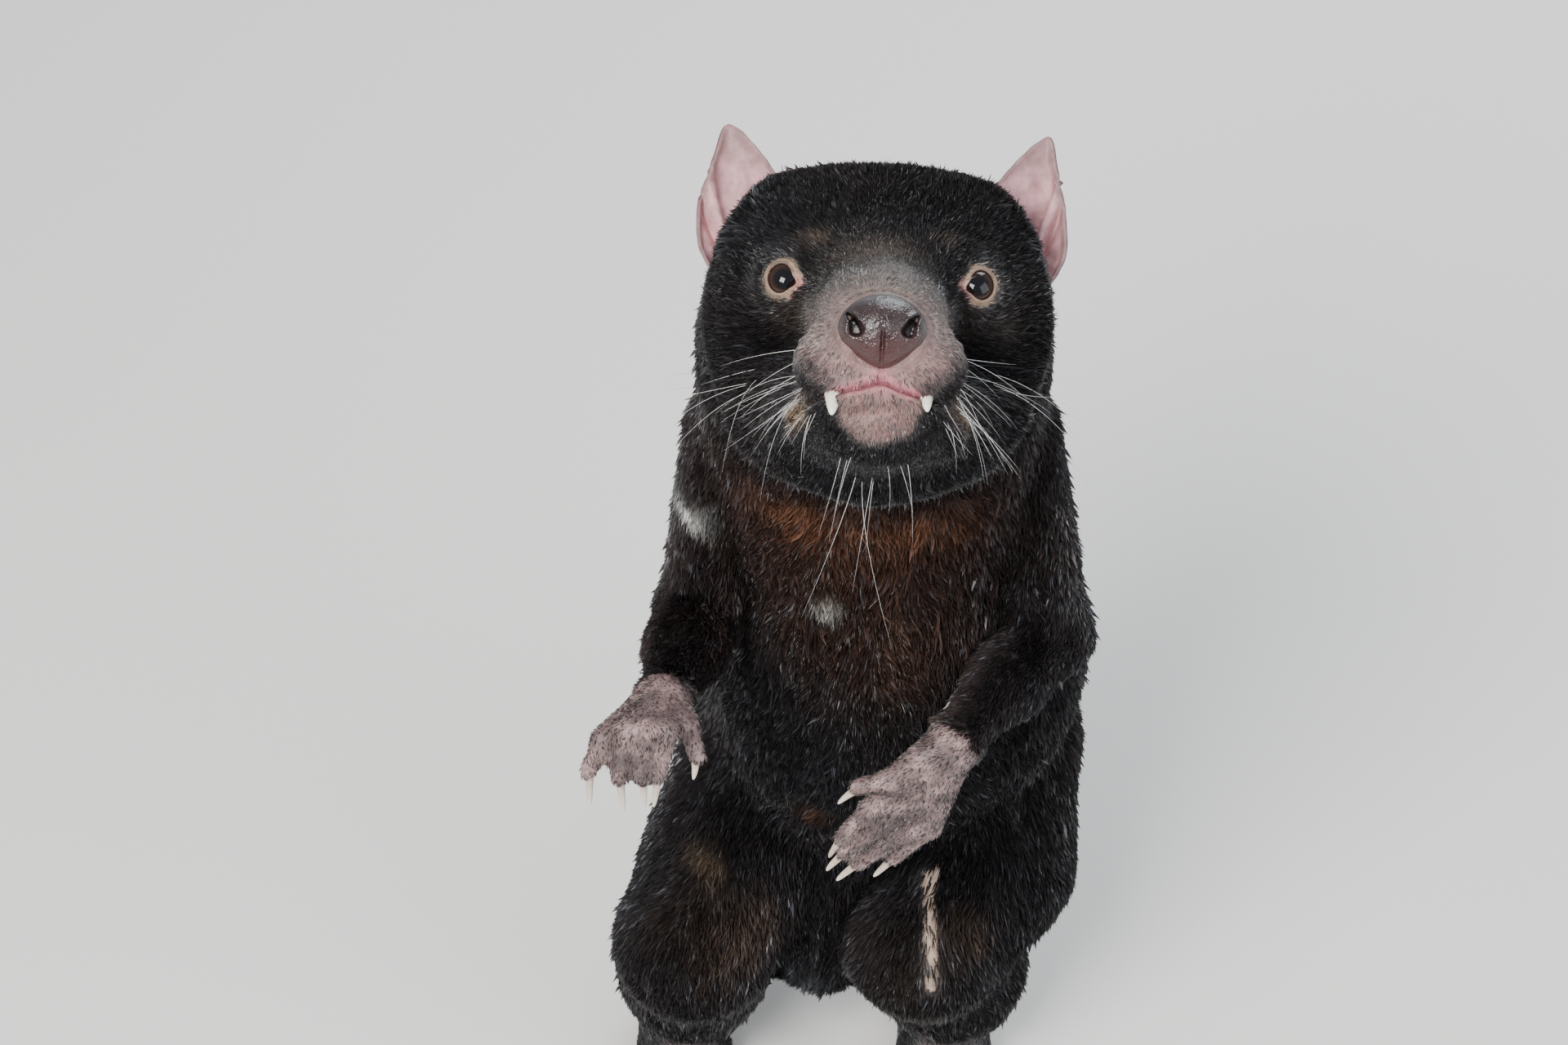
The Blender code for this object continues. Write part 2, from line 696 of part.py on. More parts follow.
def arm(letter, side):
    """One arm with its hand: upper arm, forearm, hand and five claws."""
    body = Body()
    shoulder = vec(SHOULDER) * vec(side, 1, 1)
    elbow = vec(ELBOW[letter])
    wrist = vec(WRIST[letter])
    middle = elbow + 0.45 * (wrist - elbow)
    body.add(Bone(shoulder, elbow, SHOULDER_RADIUS, ELBOW_RADIUS), 8)
    body.add(Bone(elbow, middle, ELBOW_RADIUS, FOREARM_RADIUS), 8)
    body.add(Bone(middle, wrist, FOREARM_RADIUS, WRIST_RADIUS), 8)
    palm_forms = []
    for knuckle, end, _ in DIGITS[letter]:
        palm_forms.append((Bone(wrist, knuckle, 8.5, KNUCKLE_RADIUS), 5.0))
        palm_forms.append((Bone(knuckle, end, KNUCKLE_RADIUS - 0.8, DIGIT_RADIUS), 2.0))
    for form, blend in palm_forms:
        body.add(form, blend)
    limb = surface_of("limb", body, [form for form, _ in body.forms[:3]] + [palm_forms[0][0]], 2.4, 560)
    fine = [form for form, _ in palm_forms] + [body.forms[2][0]]
    hand_mesh = surface_of("hand_mesh", body, fine, 1.0, 1200)

    elbow_plane = (elbow, unit(unit(wrist - elbow) - unit(shoulder - elbow)))
    knuckles = np.mean([vec(knuckle) for knuckle, _, _ in DIGITS[letter]], axis=0)
    wrist_plane = (wrist + 2.0 * unit(knuckles - wrist), unit(unit(knuckles - wrist) + unit(wrist - elbow)))
    whole = grown_copy(limb, GAP)
    hand = half(hand_mesh, "hand_" + letter, *wrist_plane, True)
    above = half(limb, "above", *wrist_plane, False)
    upper = half(above, "upper_arm_" + letter, *elbow_plane, False)
    fore = half(above, "forearm_" + letter, *elbow_plane, True)
    for spare in (limb, hand_mesh, above):
        bpy.data.objects.remove(spare, do_unlink=True)
    made = [upper, fore, hand]
    for number, (knuckle, end, tip) in enumerate(DIGITS[letter], start=1):
        root = vec(end) - 2.5 * unit(vec(end) - vec(knuckle))
        bow = 0.10 * (vec(end) - vec(knuckle))
        made.append(curved_cone("claw_%s_%d" % (letter, number), root, tip, FORE_CLAW_RADIUS, bow))
        cut_with(hand, curved_cone("claw_socket", root, tip, FORE_CLAW_RADIUS, bow, grow=GAP))
    return made, whole


def leg(letter, side):
    """One hind leg: thigh, shank, foot flat on the floor, and four claws."""
    body = Body()
    hip, haunch, knee, calf, ankle = (vec(table[letter]) for table in (HIP, HAUNCH, KNEE, CALF, ANKLE))
    body.add(Bone(hip, haunch, HIP_RADIUS, HAUNCH_RADIUS), 10)
    body.add(Bone(haunch, knee, HAUNCH_RADIUS, KNEE_RADIUS), 12)
    body.add(Bone(knee, calf, KNEE_RADIUS - 2.0, CALF_RADIUS), 8)
    body.add(Bone(calf, ankle, CALF_RADIUS, ANKLE_RADIUS), 10)
    heel = vec(ankle[0], -5.0, HEEL_RADIUS - GAP)
    body.add(Bone(ankle, heel, ANKLE_RADIUS - 4.0, HEEL_RADIUS), 10)
    fine = [body.forms[-2][0], body.forms[-1][0]]
    toes = []
    for offset in FOOT_TOES:
        short = 0.12 * abs(offset)
        ball = vec(ankle[0] + offset, FOOT_BALL_Y + short, 9.4)
        end = vec(ankle[0] + 1.18 * offset, FOOT_TOE_Y + 2.0 * short, 6.4)
        toes.append((ball, end))
        for form, blend in ((Bone(heel + vec(0.35 * offset, -6, 0), ball, 13.0, 9.8), 6.0),
                            (Bone(ankle + vec(0.3 * offset, -6, -3), ball, 15.0, 8.5), 6.0),
                            (Bone(ball, end, 7.2, TOE_RADIUS), 2.0)):
            body.add(form, blend)
            fine.append(form)
    limb = surface_of("limb", body, [form for form, _ in body.forms[:5]], 3.0, 620)
    foot_mesh = surface_of("foot_mesh", body, fine, 1.3, 860)
    full = limb
    limb = half(full, "limb_of_one_side", vec(BETWEEN_LEGS, 0, 0), vec(side, 0, 0), True)
    bpy.data.objects.remove(full, do_unlink=True)
    whole = grown_copy(limb, GAP)

    knee_plane = (knee, unit(unit(ankle - knee) - unit(hip - knee)))
    ankle_plane = (ankle + vec(0, 0, 4), vec(0, 0, -1))
    foot = half(foot_mesh, "hind_foot_" + letter, *ankle_plane, True)
    above = half(limb, "above", *ankle_plane, False)
    thigh = half(above, "thigh_" + letter, *knee_plane, False)
    shank = half(above, "shank_" + letter, *knee_plane, True)
    flatten_on_floor(foot)
    for spare in (limb, foot_mesh, above):
        bpy.data.objects.remove(spare, do_unlink=True)
    made = [thigh, shank, foot]
    for number, (ball, end) in enumerate(toes, start=1):
        ahead = unit((end - ball) * vec(1, 1, 0))
        root = end - 0.5 * ahead + vec(0, 0, 0.6)
        tip = end + HIND_CLAW_LENGTH * ahead + vec(0, 0, 1.4 - end[2])
        bow = vec(0, 0, 1.6)
        made.append(curved_cone("toe_claw_%s_%d" % (letter, number), root, tip, HIND_CLAW_RADIUS, bow))
        cut_with(foot, curved_cone("claw_socket", root, tip, HIND_CLAW_RADIUS, bow, grow=GAP))
    return made, whole


def tail():
    """The tail, which hangs to the floor behind the feet, in two lengths."""
    body = Body()
    for (a, ra), (b, rb) in zip(TAIL, TAIL[1:]):
        body.add(Bone(a, b, ra, rb), 10)
    obj = surface_of("tail_whole", body, [form for form, _ in body.forms], 2.2, 620)
    flatten_on_floor(obj)
    whole = grown_copy(obj, GAP)
    middle = 0.5 * (vec(TAIL[2][0]) + vec(TAIL[3][0]))
    plane = (middle, unit(vec(TAIL[3][0]) - vec(TAIL[2][0])))
    return part_along(obj, ["tail_base", "tail_end"], [plane]), whole


def material(name, finish):
    """A plain material of one colour."""
    colour, roughness = finish
    made = bpy.data.materials.new(name)
    made.use_nodes = True
    shader = made.node_tree.nodes["Principled BSDF"]
    shader.inputs["Base Color"].default_value = (*colour, 1.0)
    shader.inputs["Roughness"].default_value = roughness
    shader.inputs["Metallic"].default_value = 0.0
    return made


def finish_for(name):
    """The finish of a node, from its name."""
    for start, finish in (("ear", EAR_SKIN), ("nose", NOSE_SKIN), ("eye", EYE_GLASS), ("hand", SKIN),
                          ("hind_foot", SKIN), ("claw", IVORY), ("toe_claw", IVORY), ("tooth", IVORY)):
        if name.startswith(start):
            return finish
    return COAT


def set_down(objects):
    """Bring the solids to metres, with the origin on the floor at the middle of their box."""
    everything = np.vstack([points_of(obj) for obj in objects])
    low, high = everything.min(axis=0), everything.max(axis=0)
    origin = vec(0.5 * (low[0] + high[0]), 0.5 * (low[1] + high[1]), 0.0)
    for obj in objects:
        set_points(obj, (points_of(obj) - origin) * MM)
        obj.data.materials.clear()
        obj.data.materials.append(material(obj.name + "_finish", finish_for(obj.name)))
        obj.data.shade_smooth()
        obj.data.set_sharp_from_angle(angle=math.radians(50))


def main():
    clear_scene()
    head, neck, torso, stations = build_head_and_trunk()
    objects = [head, neck, torso] + finish_head(head, stations)
    limbs = []
    thighs = []
    for letter, side in SIDES:
        made, whole = arm(letter, side)
        objects += made
        limbs.append(whole)
        made, whole = leg(letter, side)
        objects += made
        limbs.append(whole)
        thighs.append(made[0])
    made, whole = tail()
    for thigh in thighs:
        cut_with(made[0], grown_copy(thigh, GAP))
    objects += made
    limbs.append(whole)
    for whole in limbs:
        cut_with(torso, whole)
    set_down(objects)


main()
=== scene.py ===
"""The looks of a still, life-size tasmanian devil that stands upright and looks up.

One skin replaces the solids of flesh and lies inside them by the depth of the coat. The coat is
solid tufts that follow the lie of the fur. Eyes, nose, ears, claws, teeth and whiskers are pieces
of their own. Shapes are worked out in millimetres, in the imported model's frame.
"""
import logging
import math
from dataclasses import dataclass, field
from enum import Enum

import bmesh
import bpy
import numpy as np
from mathutils import Matrix, Vector
from mathutils.bvhtree import BVHTree
from mathutils.kdtree import KDTree


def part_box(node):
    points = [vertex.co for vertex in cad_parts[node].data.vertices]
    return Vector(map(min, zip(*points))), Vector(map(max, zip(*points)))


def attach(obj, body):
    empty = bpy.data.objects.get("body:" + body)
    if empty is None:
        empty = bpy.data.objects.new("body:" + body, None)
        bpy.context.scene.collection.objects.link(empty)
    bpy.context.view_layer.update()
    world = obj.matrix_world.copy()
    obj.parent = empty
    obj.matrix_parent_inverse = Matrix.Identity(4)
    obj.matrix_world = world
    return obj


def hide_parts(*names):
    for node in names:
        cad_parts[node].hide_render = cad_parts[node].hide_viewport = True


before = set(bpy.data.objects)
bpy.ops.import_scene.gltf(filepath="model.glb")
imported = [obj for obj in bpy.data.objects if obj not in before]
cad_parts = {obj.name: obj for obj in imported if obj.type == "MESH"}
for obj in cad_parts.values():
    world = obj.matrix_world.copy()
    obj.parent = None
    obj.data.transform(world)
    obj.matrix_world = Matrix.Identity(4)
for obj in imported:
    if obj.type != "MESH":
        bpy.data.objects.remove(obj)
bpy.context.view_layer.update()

log = logging.getLogger("tasmanian_devil")

MM = 0.001
BODY = "root"
SEED = 20261
SIDES = (("r", -1.0), ("l", 1.0))


class Part(Enum):
    """The parts of the body that the coat treats in their own way, each with its solids."""

    HEAD = ("head",)
    NECK = ("neck",)
    TORSO = ("torso",)
    UPPER_ARM_R = ("upper_arm_r",)
    UPPER_ARM_L = ("upper_arm_l",)
    FOREARM_R = ("forearm_r",)
    FOREARM_L = ("forearm_l",)
    HAND_R = ("hand_r",)
    HAND_L = ("hand_l",)
    THIGH_R = ("thigh_r",)
    THIGH_L = ("thigh_l",)
    SHANK_R = ("shank_r",)
    SHANK_L = ("shank_l",)
    FOOT_R = ("hind_foot_r",)
    FOOT_L = ("hind_foot_l",)
    TAIL_BASE = ("tail_base",)
    TAIL_END = ("tail_end",)


PARTS = list(Part)
HANDS_AND_FEET = (Part.HAND_R, Part.HAND_L, Part.FOOT_R, Part.FOOT_L)


def smooth_step(values: np.ndarray) -> np.ndarray:
    """A soft step from 0 to 1 as the values go from 0 to 1."""
    t = np.clip(values, 0.0, 1.0)
    return t * t * (3.0 - 2.0 * t)


def unit(vectors: np.ndarray) -> np.ndarray:
    """Vectors scaled to length one."""
    vectors = np.asarray(vectors, dtype=float)
    return vectors / np.maximum(np.linalg.norm(vectors, axis=-1, keepdims=True), 1e-9)


def centre_of(node: str) -> np.ndarray:
    """The middle of a solid's box in millimetres."""
    low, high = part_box(node)
    return np.array((low + high) / 2.0) / MM


def ripple(points: np.ndarray, length: float, seed: int) -> np.ndarray:
    """A soft, aimless wave over space, between about -1 and 1.

    Args:
        points: places in millimetres.
        length: the distance from crest to crest in millimetres.
        seed: picks another wave.

    Returns:
        One value for each place.
    """
    draw = np.random.default_rng(seed)
    total = np.zeros(len(points))
    for _ in range(5):
        direction = unit(draw.normal(size=3))
        pace = 2.0 * math.pi / (length * draw.uniform(0.7, 1.5))
        total += np.sin(points @ direction * pace + draw.uniform(0.0, 6.3))
    return total / 3.0


@dataclass(frozen=True)
class HeadFrame:
    """The head's own frame: x to the animal's left, y along the muzzle, z towards the crown."""

    origin: np.ndarray
    axes: np.ndarray

    PITCH = 52.0
    EYES_BEHIND = 3.0

    @classmethod
    def from_eyes(cls) -> "HeadFrame":
        """The frame that the two eyes and the muzzle's pitch give."""
        right, left = centre_of("eye_r"), centre_of("eye_l")
        across = unit(left - right)
        pitch = math.radians(cls.PITCH)
        ahead = np.array([0.0, -math.cos(pitch), math.sin(pitch)])
        ahead = unit(ahead - across * (ahead @ across))
        crown = np.cross(across, ahead)
        crown = crown if crown[2] > 0.0 else -crown
        middle = 0.5 * (left + right) + cls.EYES_BEHIND * ahead
        return cls(middle, np.array([across, ahead, crown]))

    def local(self, points: np.ndarray) -> np.ndarray:
        """Places of the model in the head's frame."""
        return (points - self.origin) @ self.axes.T

    def world(self, points: np.ndarray) -> np.ndarray:
        """Places of the head's frame in the model."""
        return self.origin + np.asarray(points, dtype=float) @ self.axes

    def turn(self, vectors: np.ndarray) -> np.ndarray:
        """Directions of the head's frame in the model."""
        return np.asarray(vectors, dtype=float) @ self.axes


@dataclass(frozen=True)
class EyePlace:
    """Where one eye sits and looks, and the oval opening between its lids."""

    head: HeadFrame
    side: float
    centre: np.ndarray
    radius: float

    TURN = 20.0
    OPENING = (4.6, 5.4)

    @classmethod
    def both(cls, head: HeadFrame) -> list["EyePlace"]:
        """The two eyes of the head."""
        made = []
        for letter, side in SIDES:
            low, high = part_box("eye_" + letter)
            radius = (high.x - low.x) / 2.0 / MM
            made.append(cls(head, side, centre_of("eye_" + letter), radius))
        return made

    @property
    def axes(self) -> np.ndarray:
        """Rows: out of the face, the way the eye looks, and up, each in the model."""
        turn = math.radians(self.TURN)
        outwards = (self.side * math.cos(turn), -math.sin(turn), 0.0)
        look = (self.side * math.sin(turn), math.cos(turn), 0.0)
        return self.head.turn([outwards, look, (0.0, 0.0, 1.0)])

    def local(self, points: np.ndarray) -> np.ndarray:
        """Places of the model about the eye: outwards, along its look, and up."""
        return (points - self.centre) @ self.axes.T

    def oval(self, local: np.ndarray) -> np.ndarray:
        """How far out of the opening's middle places lie: 1 on the edge of the lids."""
        wide, tall = self.OPENING
        out, up = local[:, 0], local[:, 2]
        # The inner corner is drawn out a little towards the nose and down
        corner = 1.5 * smooth_step((-out - 1.0) / 5.0) * smooth_step(1.0 - np.abs(up + 2.2) / 4.0)
        return np.hypot(out / (wide + corner), up / tall)


@dataclass(frozen=True)
class Mouth:
    """The line of the mouth, drawn round a point inside the muzzle."""

    centre_y: float = 6.0
    half_angle: float = 68.0
    front_z: float = -46.2
    drop_right: float = 9.0
    drop_left: float = 10.5
    depth: float = 2.6
    cleft: float = 1.2

    def share(self, local: np.ndarray) -> np.ndarray:
        """How far along the mouth places lie: -1 and 1 at its corners, 0 in front."""
        angle = np.degrees(np.arctan2(local[:, 0], local[:, 1] - self.centre_y))
        return angle / self.half_angle

    def line(self, share: np.ndarray) -> np.ndarray:
        """The height of the line of the mouth, which rises to a small cleft in front."""
        away = np.abs(share)
        right = self.drop_right * away ** 1.1
        left = self.drop_left * np.sqrt(away ** 2 + 0.002) ** 0.75 - 1.0
        fall = np.where(share > 0.0, np.maximum(left, 0.0), right)
        return self.front_z - fall + self.cleft * np.exp(-(away / 0.09) ** 2)

    def above(self, local: np.ndarray) -> np.ndarray:
        """How far above the line of the mouth places lie."""
        return local[:, 2] - self.line(self.share(local))


@dataclass(frozen=True)
class Patch:
    """A soft-edged marking round a point of the coat."""

    centre: tuple[float, float, float]
    radii: tuple[float, float, float]
    colour: tuple[float, float, float]
    strength: float = 1.0

    def weight(self, points: np.ndarray) -> np.ndarray:
        """How strongly the marking shows at each place, from 0 to 1."""
        far = (points - np.array(self.centre)) / np.array(self.radii)
        return self.strength * np.exp(-(far * far).sum(axis=1))


@dataclass(frozen=True)
class Markings:
    """The colours of the coat and of the bare skin, the same for both."""

    head: HeadFrame
    eyes: list[EyePlace]
    mouth: Mouth

    COAT = (0.0185, 0.0180, 0.0200)
    COAT_BROWN = (0.026, 0.018, 0.015)
    MUZZLE = (0.185, 0.125, 0.112)
    BRIDGE = (0.090, 0.066, 0.055)
    MUZZLE_PINK = (0.235, 0.130, 0.122)
    LID = (0.34, 0.235, 0.165)
    LID_PINK = (0.55, 0.30, 0.27)
    LID_EDGE = (0.055, 0.030, 0.025)
    LIP = (0.62, 0.22, 0.27)
    CHIN = (0.215, 0.112, 0.100)
    HAND = (0.20, 0.130, 0.125)
    HAND_PALE = (0.40, 0.275, 0.265)
    HAND_DARK = (0.055, 0.042, 0.042)
    CREASE_WIDTH = 1.6
    CREASE_REACH = 12.0
    PALM_RADIUS = 7.0
    PALM_EDGE = 8.0
    PALE_STRIP = (0.45, 0.33, 0.26)
    STRIP = ((28.5, -101.0, 139.0), (28.5, -130.0, 115.0), 3.0)

    HEAD_PATCHES = (
        Patch((-22.5, 8.0, 13.0), (5.0, 9.0, 3.5), (0.20, 0.155, 0.125), 0.65),
        Patch((22.5, 8.0, 13.0), (5.0, 9.0, 3.5), (0.15, 0.12, 0.10), 0.5),
        Patch((0.0, 26.0, 6.0), (15.0, 14.0, 9.0), (0.120, 0.095, 0.080), 0.75),
        Patch((-29.0, 31.0, -52.0), (5.0, 10.0, 4.0), (0.30, 0.20, 0.12), 0.7),
        Patch((30.0, 26.0, -51.0), (5.0, 10.0, 4.0), (0.26, 0.18, 0.12), 0.6),
        Patch((-25.0, 32.0, -47.0), (8.0, 10.0, 6.0), (0.11, 0.078, 0.066), 0.65),
        Patch((25.0, 32.0, -47.0), (8.0, 10.0, 6.0), (0.11, 0.078, 0.066), 0.65),
        Patch((43.0, -2.0, -16.0), (5.0, 8.0, 5.0), (0.13, 0.11, 0.10), 0.5),
        Patch((-28.0, 4.0, -14.0), (9.0, 12.0, 8.0), (0.045, 0.032, 0.026), 0.6),
        Patch((28.0, 4.0, -14.0), (9.0, 12.0, 8.0), (0.045, 0.032, 0.026), 0.6),
    )
    BODY_PATCHES = (
        Patch((-10.0, -112.0, 344.0), (62.0, 44.0, 50.0), (0.050, 0.023, 0.015), 0.80),
        Patch((-8.0, -118.0, 370.0), (54.0, 28.0, 17.0), (0.100, 0.043, 0.025), 0.85),
        Patch((-31.0, -113.0, 374.0), (17.0, 18.0, 9.0), (0.190, 0.086, 0.048), 0.75),
        Patch((15.0, -116.0, 369.0), (19.0, 18.0, 9.0), (0.170, 0.080, 0.046), 0.75),
        Patch((-2.0, -112.0, 304.0), (38.0, 30.0, 34.0), (0.052, 0.026, 0.018), 0.7),
        Patch((14.0, -112.0, 284.0), (14.0, 20.0, 16.0), (0.080, 0.041, 0.029), 0.65),
        Patch((-15.5, -111.0, 321.0), (4.6, 14.0, 5.0), (0.50, 0.50, 0.46), 0.95),
        Patch((-20.0, -111.0, 318.0), (2.6, 14.0, 3.0), (0.50, 0.50, 0.46), 0.85),
        Patch((-73.0, -80.0, 344.0), (10.0, 14.0, 4.6), (0.60, 0.60, 0.57), 1.0),
        Patch((9.0, -111.0, 309.0), (4.6, 14.0, 9.0), (0.145, 0.088, 0.056), 0.8),
        Patch((-21.0, -96.0, 180.0), (8.0, 14.0, 8.0), (0.085, 0.040, 0.022), 0.75),
        Patch((-66.0, -95.0, 143.0), (7.0, 14.0, 6.0), (0.27, 0.195, 0.135), 0.85),
        Patch((-61.0, -112.0, 122.0), (22.0, 26.0, 20.0), (0.070, 0.048, 0.038), 0.8),
        Patch((-46.0, -112.0, 126.0), (8.0, 14.0, 9.0), (0.12, 0.085, 0.065), 0.6),
        Patch((44.0, -116.0, 126.0), (9.0, 14.0, 8.0), (0.105, 0.070, 0.050), 0.7),
        Patch((19.0, -120.0, 112.0), (16.0, 20.0, 20.0), (0.048, 0.036, 0.030), 0.6),
        Patch((-26.0, -100.0, 72.0), (9.0, 20.0, 14.0), (0.11, 0.120, 0.130), 0.55),
        # Painted highlight: a bluish-grey sheen on the outer side of the left shank
        Patch((51.0, -95.0, 92.0), (12.0, 24.0, 22.0), (0.050, 0.054, 0.058), 0.5),
        Patch((-82.0, -118.0, 298.0), (16.0, 12.0, 8.0), (0.11, 0.068, 0.052), 0.45),
        Patch((29.0, -140.0, 268.0), (12.0, 12.0, 9.0), (0.20, 0.13, 0.105), 0.5),
    )

    def from_face(self, points: np.ndarray) -> np.ndarray:
        """Places of the body as seen from the floor under the middle of the face."""
        return points - np.array([self.head.origin[0], 0.0, 0.0])

    def lid_share(self, points: np.ndarray) -> np.ndarray:
        """How far places belong to the bare skin of the lids, from 0 to 1."""
        total = np.zeros(len(points))
        for eye in self.eyes:
            local = eye.local(points)
            ring = eye.oval(local)
            inner = smooth_step((-local[:, 0] - 1.0) / 6.0) * 0.42
            above = smooth_step((local[:, 2] - 1.0) / 5.0) * 0.10
            near = 1.0 - smooth_step((ring - 1.16 - inner + above + 0.06 * ripple(local, 4.0, 2)) / 0.50)
            near *= local[:, 1] > 0.0
            total = np.maximum(total, near)
        return total

    def face_share(self, points: np.ndarray) -> np.ndarray:
        """How bare the muzzle and chin are, from 0 in the coat to 1 on open skin."""
        local = self.head.local(points)
        x, y, z = local.T
        wave = 1.6 * ripple(local, 9.0, 3)
        middle_z = -24.0
        wide = 33.5 - 0.30 * np.maximum(z - middle_z, 0.0)
        tall = np.where(z > middle_z, 27.0, 28.5)
        round_off = np.hypot(x / wide, (z - middle_z) / tall) * 30.0
        muzzle = 1.0 - smooth_step((round_off + wave - 23.0) / np.where(z > middle_z, 13.0, 9.0))
        muzzle *= smooth_step((y - 0.0) / 10.0)
        muzzle *= smooth_step((self.mouth.above(local) + 1.0) / 1.5)
        chin = 1.0 - smooth_step((np.hypot(x / 15.0, (z + 51.0) / 13.5) - 0.78 + 0.05 * wave) / 0.34)
        chin *= smooth_step((y - 28.0) / 8.0) * (1.0 - smooth_step((self.mouth.above(local) + 0.5) / 1.5))
        return np.clip(np.maximum(muzzle, chin), 0.0, 1.0)

    def strip_share(self, points: np.ndarray) -> np.ndarray:
        """The thin bare strip down one knee."""
        start, end, half_width = self.STRIP
        start, end = np.array(start), np.array(end)
        places = self.from_face(points)
        along = end - start
        t = np.clip((places - start) @ along / (along @ along), 0.0, 1.0)
        far = places - start - t[:, None] * along
        wide = np.abs(far[:, 0]) / half_width
        return (1.0 - smooth_step((wide - 0.6) / 0.8)) * (np.linalg.norm(far, axis=1) < 14.0)

    def coat_colour(self, points: np.ndarray) -> np.ndarray:
        """The colour of the hair at each place."""
        local = self.head.local(points)
        colour = np.tile(np.array(self.COAT), (len(points), 1))
        brown = np.clip(0.5 + 0.5 * ripple(points, 55.0, 11), 0.0, 1.0)[:, None] * 0.35
        colour += (np.array(self.COAT_BROWN) - colour) * brown
        wave = 3.0 * np.stack([ripple(points, 16.0, 71 + k) for k in range(3)], axis=1)
        for patches, places in ((self.BODY_PATCHES, self.from_face(points) + wave),
                                (self.HEAD_PATCHES, local + 0.4 * wave)):
            for patch in patches:
                share = patch.weight(places)[:, None]
                colour += (np.array(patch.colour) - colour) * share
        return colour

    def skin_colour(self, points: np.ndarray, hand_share: np.ndarray) -> np.ndarray:
        """The colour of the skin under the coat and where it is bare.

        Args:
            points: places on the skin in millimetres.
            hand_share: how far each belongs to a hand or foot, from 0 to 1.

        Returns:
            Red, green and blue for each place.
        """
        local = self.head.local(points)
        x, y, z = local.T
        colour = 0.75 * self.coat_colour(points)

        mottle = np.clip(0.5 + 0.5 * ripple(local, 6.0, 5), 0.0, 1.0)[:, None]
        pink = smooth_step((-z - 26.0) / 14.0)[:, None]
        bridge = smooth_step((z + 22.0) / 16.0)[:, None]
        bare = np.array(self.MUZZLE) + (np.array(self.MUZZLE_PINK) - np.array(self.MUZZLE)) * pink
        bare = bare + (np.array(self.BRIDGE) - bare) * bridge
        under = smooth_step((-self.mouth.above(local)) / 2.0)[:, None]
        bare = bare + (np.array(self.CHIN) - bare) * under
        edge = smooth_step((np.hypot(x, z + 27.0) - 17.0) / 16.0)[:, None]
        bare = bare * (0.84 + 0.24 * mottle) * (1.0 - 0.42 * edge * (1.0 - under))
        share = self.face_share(points)[:, None]
        colour += (bare - colour) * share

        above = self.mouth.above(local)
        along = np.abs(self.mouth.share(local))
        wide = 1.1 + 2.2 * np.exp(-(along / 0.12) ** 2)
        lip = np.exp(-((above - 0.8) / wide) ** 2) * (1.0 - smooth_step((along - 0.22) / 0.16))
        lip = np.maximum(lip, np.exp(-((above + 1.2) / 1.0) ** 2) * (along < 0.2) * 0.6)
        lip *= smooth_step((y - 15.0) / 10.0)
        colour += (np.array(self.LIP) - colour) * (0.85 * lip)[:, None]
        # Painted shade: the gap between the lips is darkened along the line of the mouth
        inside = np.exp(-(above / 0.42) ** 2) * smooth_step((y - 12.0) / 10.0) * (along < 1.0)
        colour += (np.array((0.06, 0.02, 0.022)) - colour) * (0.85 * inside)[:, None]

        lids = self.lid_share(points)[:, None]
        for eye in self.eyes:
            about = eye.local(points)
            near = (np.hypot(about[:, 0], about[:, 2]) < 16.0)[:, None] & (about[:, 1] > 0.0)[:, None]
            inner = smooth_step((-about[:, 0] - 2.0) / 4.0) * smooth_step((2.5 - about[:, 2]) / 4.0)
            lid = np.array(self.LID) + (np.array(self.LID_PINK) - np.array(self.LID)) * inner[:, None]
            lid = lid * (0.85 + 0.2 * mottle)
            colour += (lid - colour) * lids * near
            ring = eye.oval(about)
            edge = (1.0 - smooth_step((ring - 0.99) / 0.10)) * (about[:, 1] > 0.0)
            upper = np.exp(-((ring - 1.10) / 0.05) ** 2) * smooth_step((about[:, 2] - 0.5) / 2.5)
            edge = np.maximum(edge, 0.9 * upper * (about[:, 1] > 0.0))
            colour += (np.array(self.LID_EDGE) - colour) * edge[:, None]

        colour += (self.hand_colour(points) - colour) * hand_share[:, None]
        colour += (np.array(self.PALE_STRIP) - colour) * self.strip_share(points)[:, None]
        return colour

    def hand_colour(self, points: np.ndarray) -> np.ndarray:
        """The bare skin of hands and feet: grey pink, with pale folds, dusky patches and painted shade in the
        folds between the digits.
        """
        pale = smooth_step(0.5 + 0.9 * ripple(points, 8.0, 9))[:, None]
        dark = smooth_step(0.35 + 0.9 * ripple(points, 15.0, 8))[:, None]
        colour = np.array(self.HAND) + (np.array(self.HAND_PALE) - np.array(self.HAND)) * 0.7 * pale
        colour = colour + (np.array(self.HAND_DARK) - colour) * 0.62 * dark
        # Painted shade: the folds between the digits are darkened
        return colour + (np.array(self.HAND_DARK) - colour) * 0.85 * self.painted_digit_shade(points)[:, None]

    def painted_digit_shade(self, points: np.ndarray) -> np.ndarray:
        """How far places lie in the painted shade of the folds between the digits of the hands, from 0 to 1.
        """
        total = np.zeros(len(points))
        for letter, _ in SIDES:
            middle = np.mean(np.array(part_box("hand_" + letter)), axis=0) / MM
            near = []
            for number in range(1, 6):
                tip = np.mean(np.array(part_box(f"claw_{letter}_{number}")), axis=0) / MM
                along = middle - tip
                t = np.clip((points - tip) @ along / (along @ along), 0.0, 0.9)
                near.append(np.linalg.norm(points - tip - t[:, None] * along, axis=1))
            near = np.sort(np.array(near), axis=0)
            gap = np.exp(-((near[1] - near[0]) / self.CREASE_WIDTH) ** 2) * (near[0] < self.CREASE_REACH)
            outward = np.linalg.norm(points - middle, axis=1) - self.PALM_RADIUS
            gap *= smooth_step(outward / self.PALM_EDGE)
            total = np.maximum(total, gap)
        return total


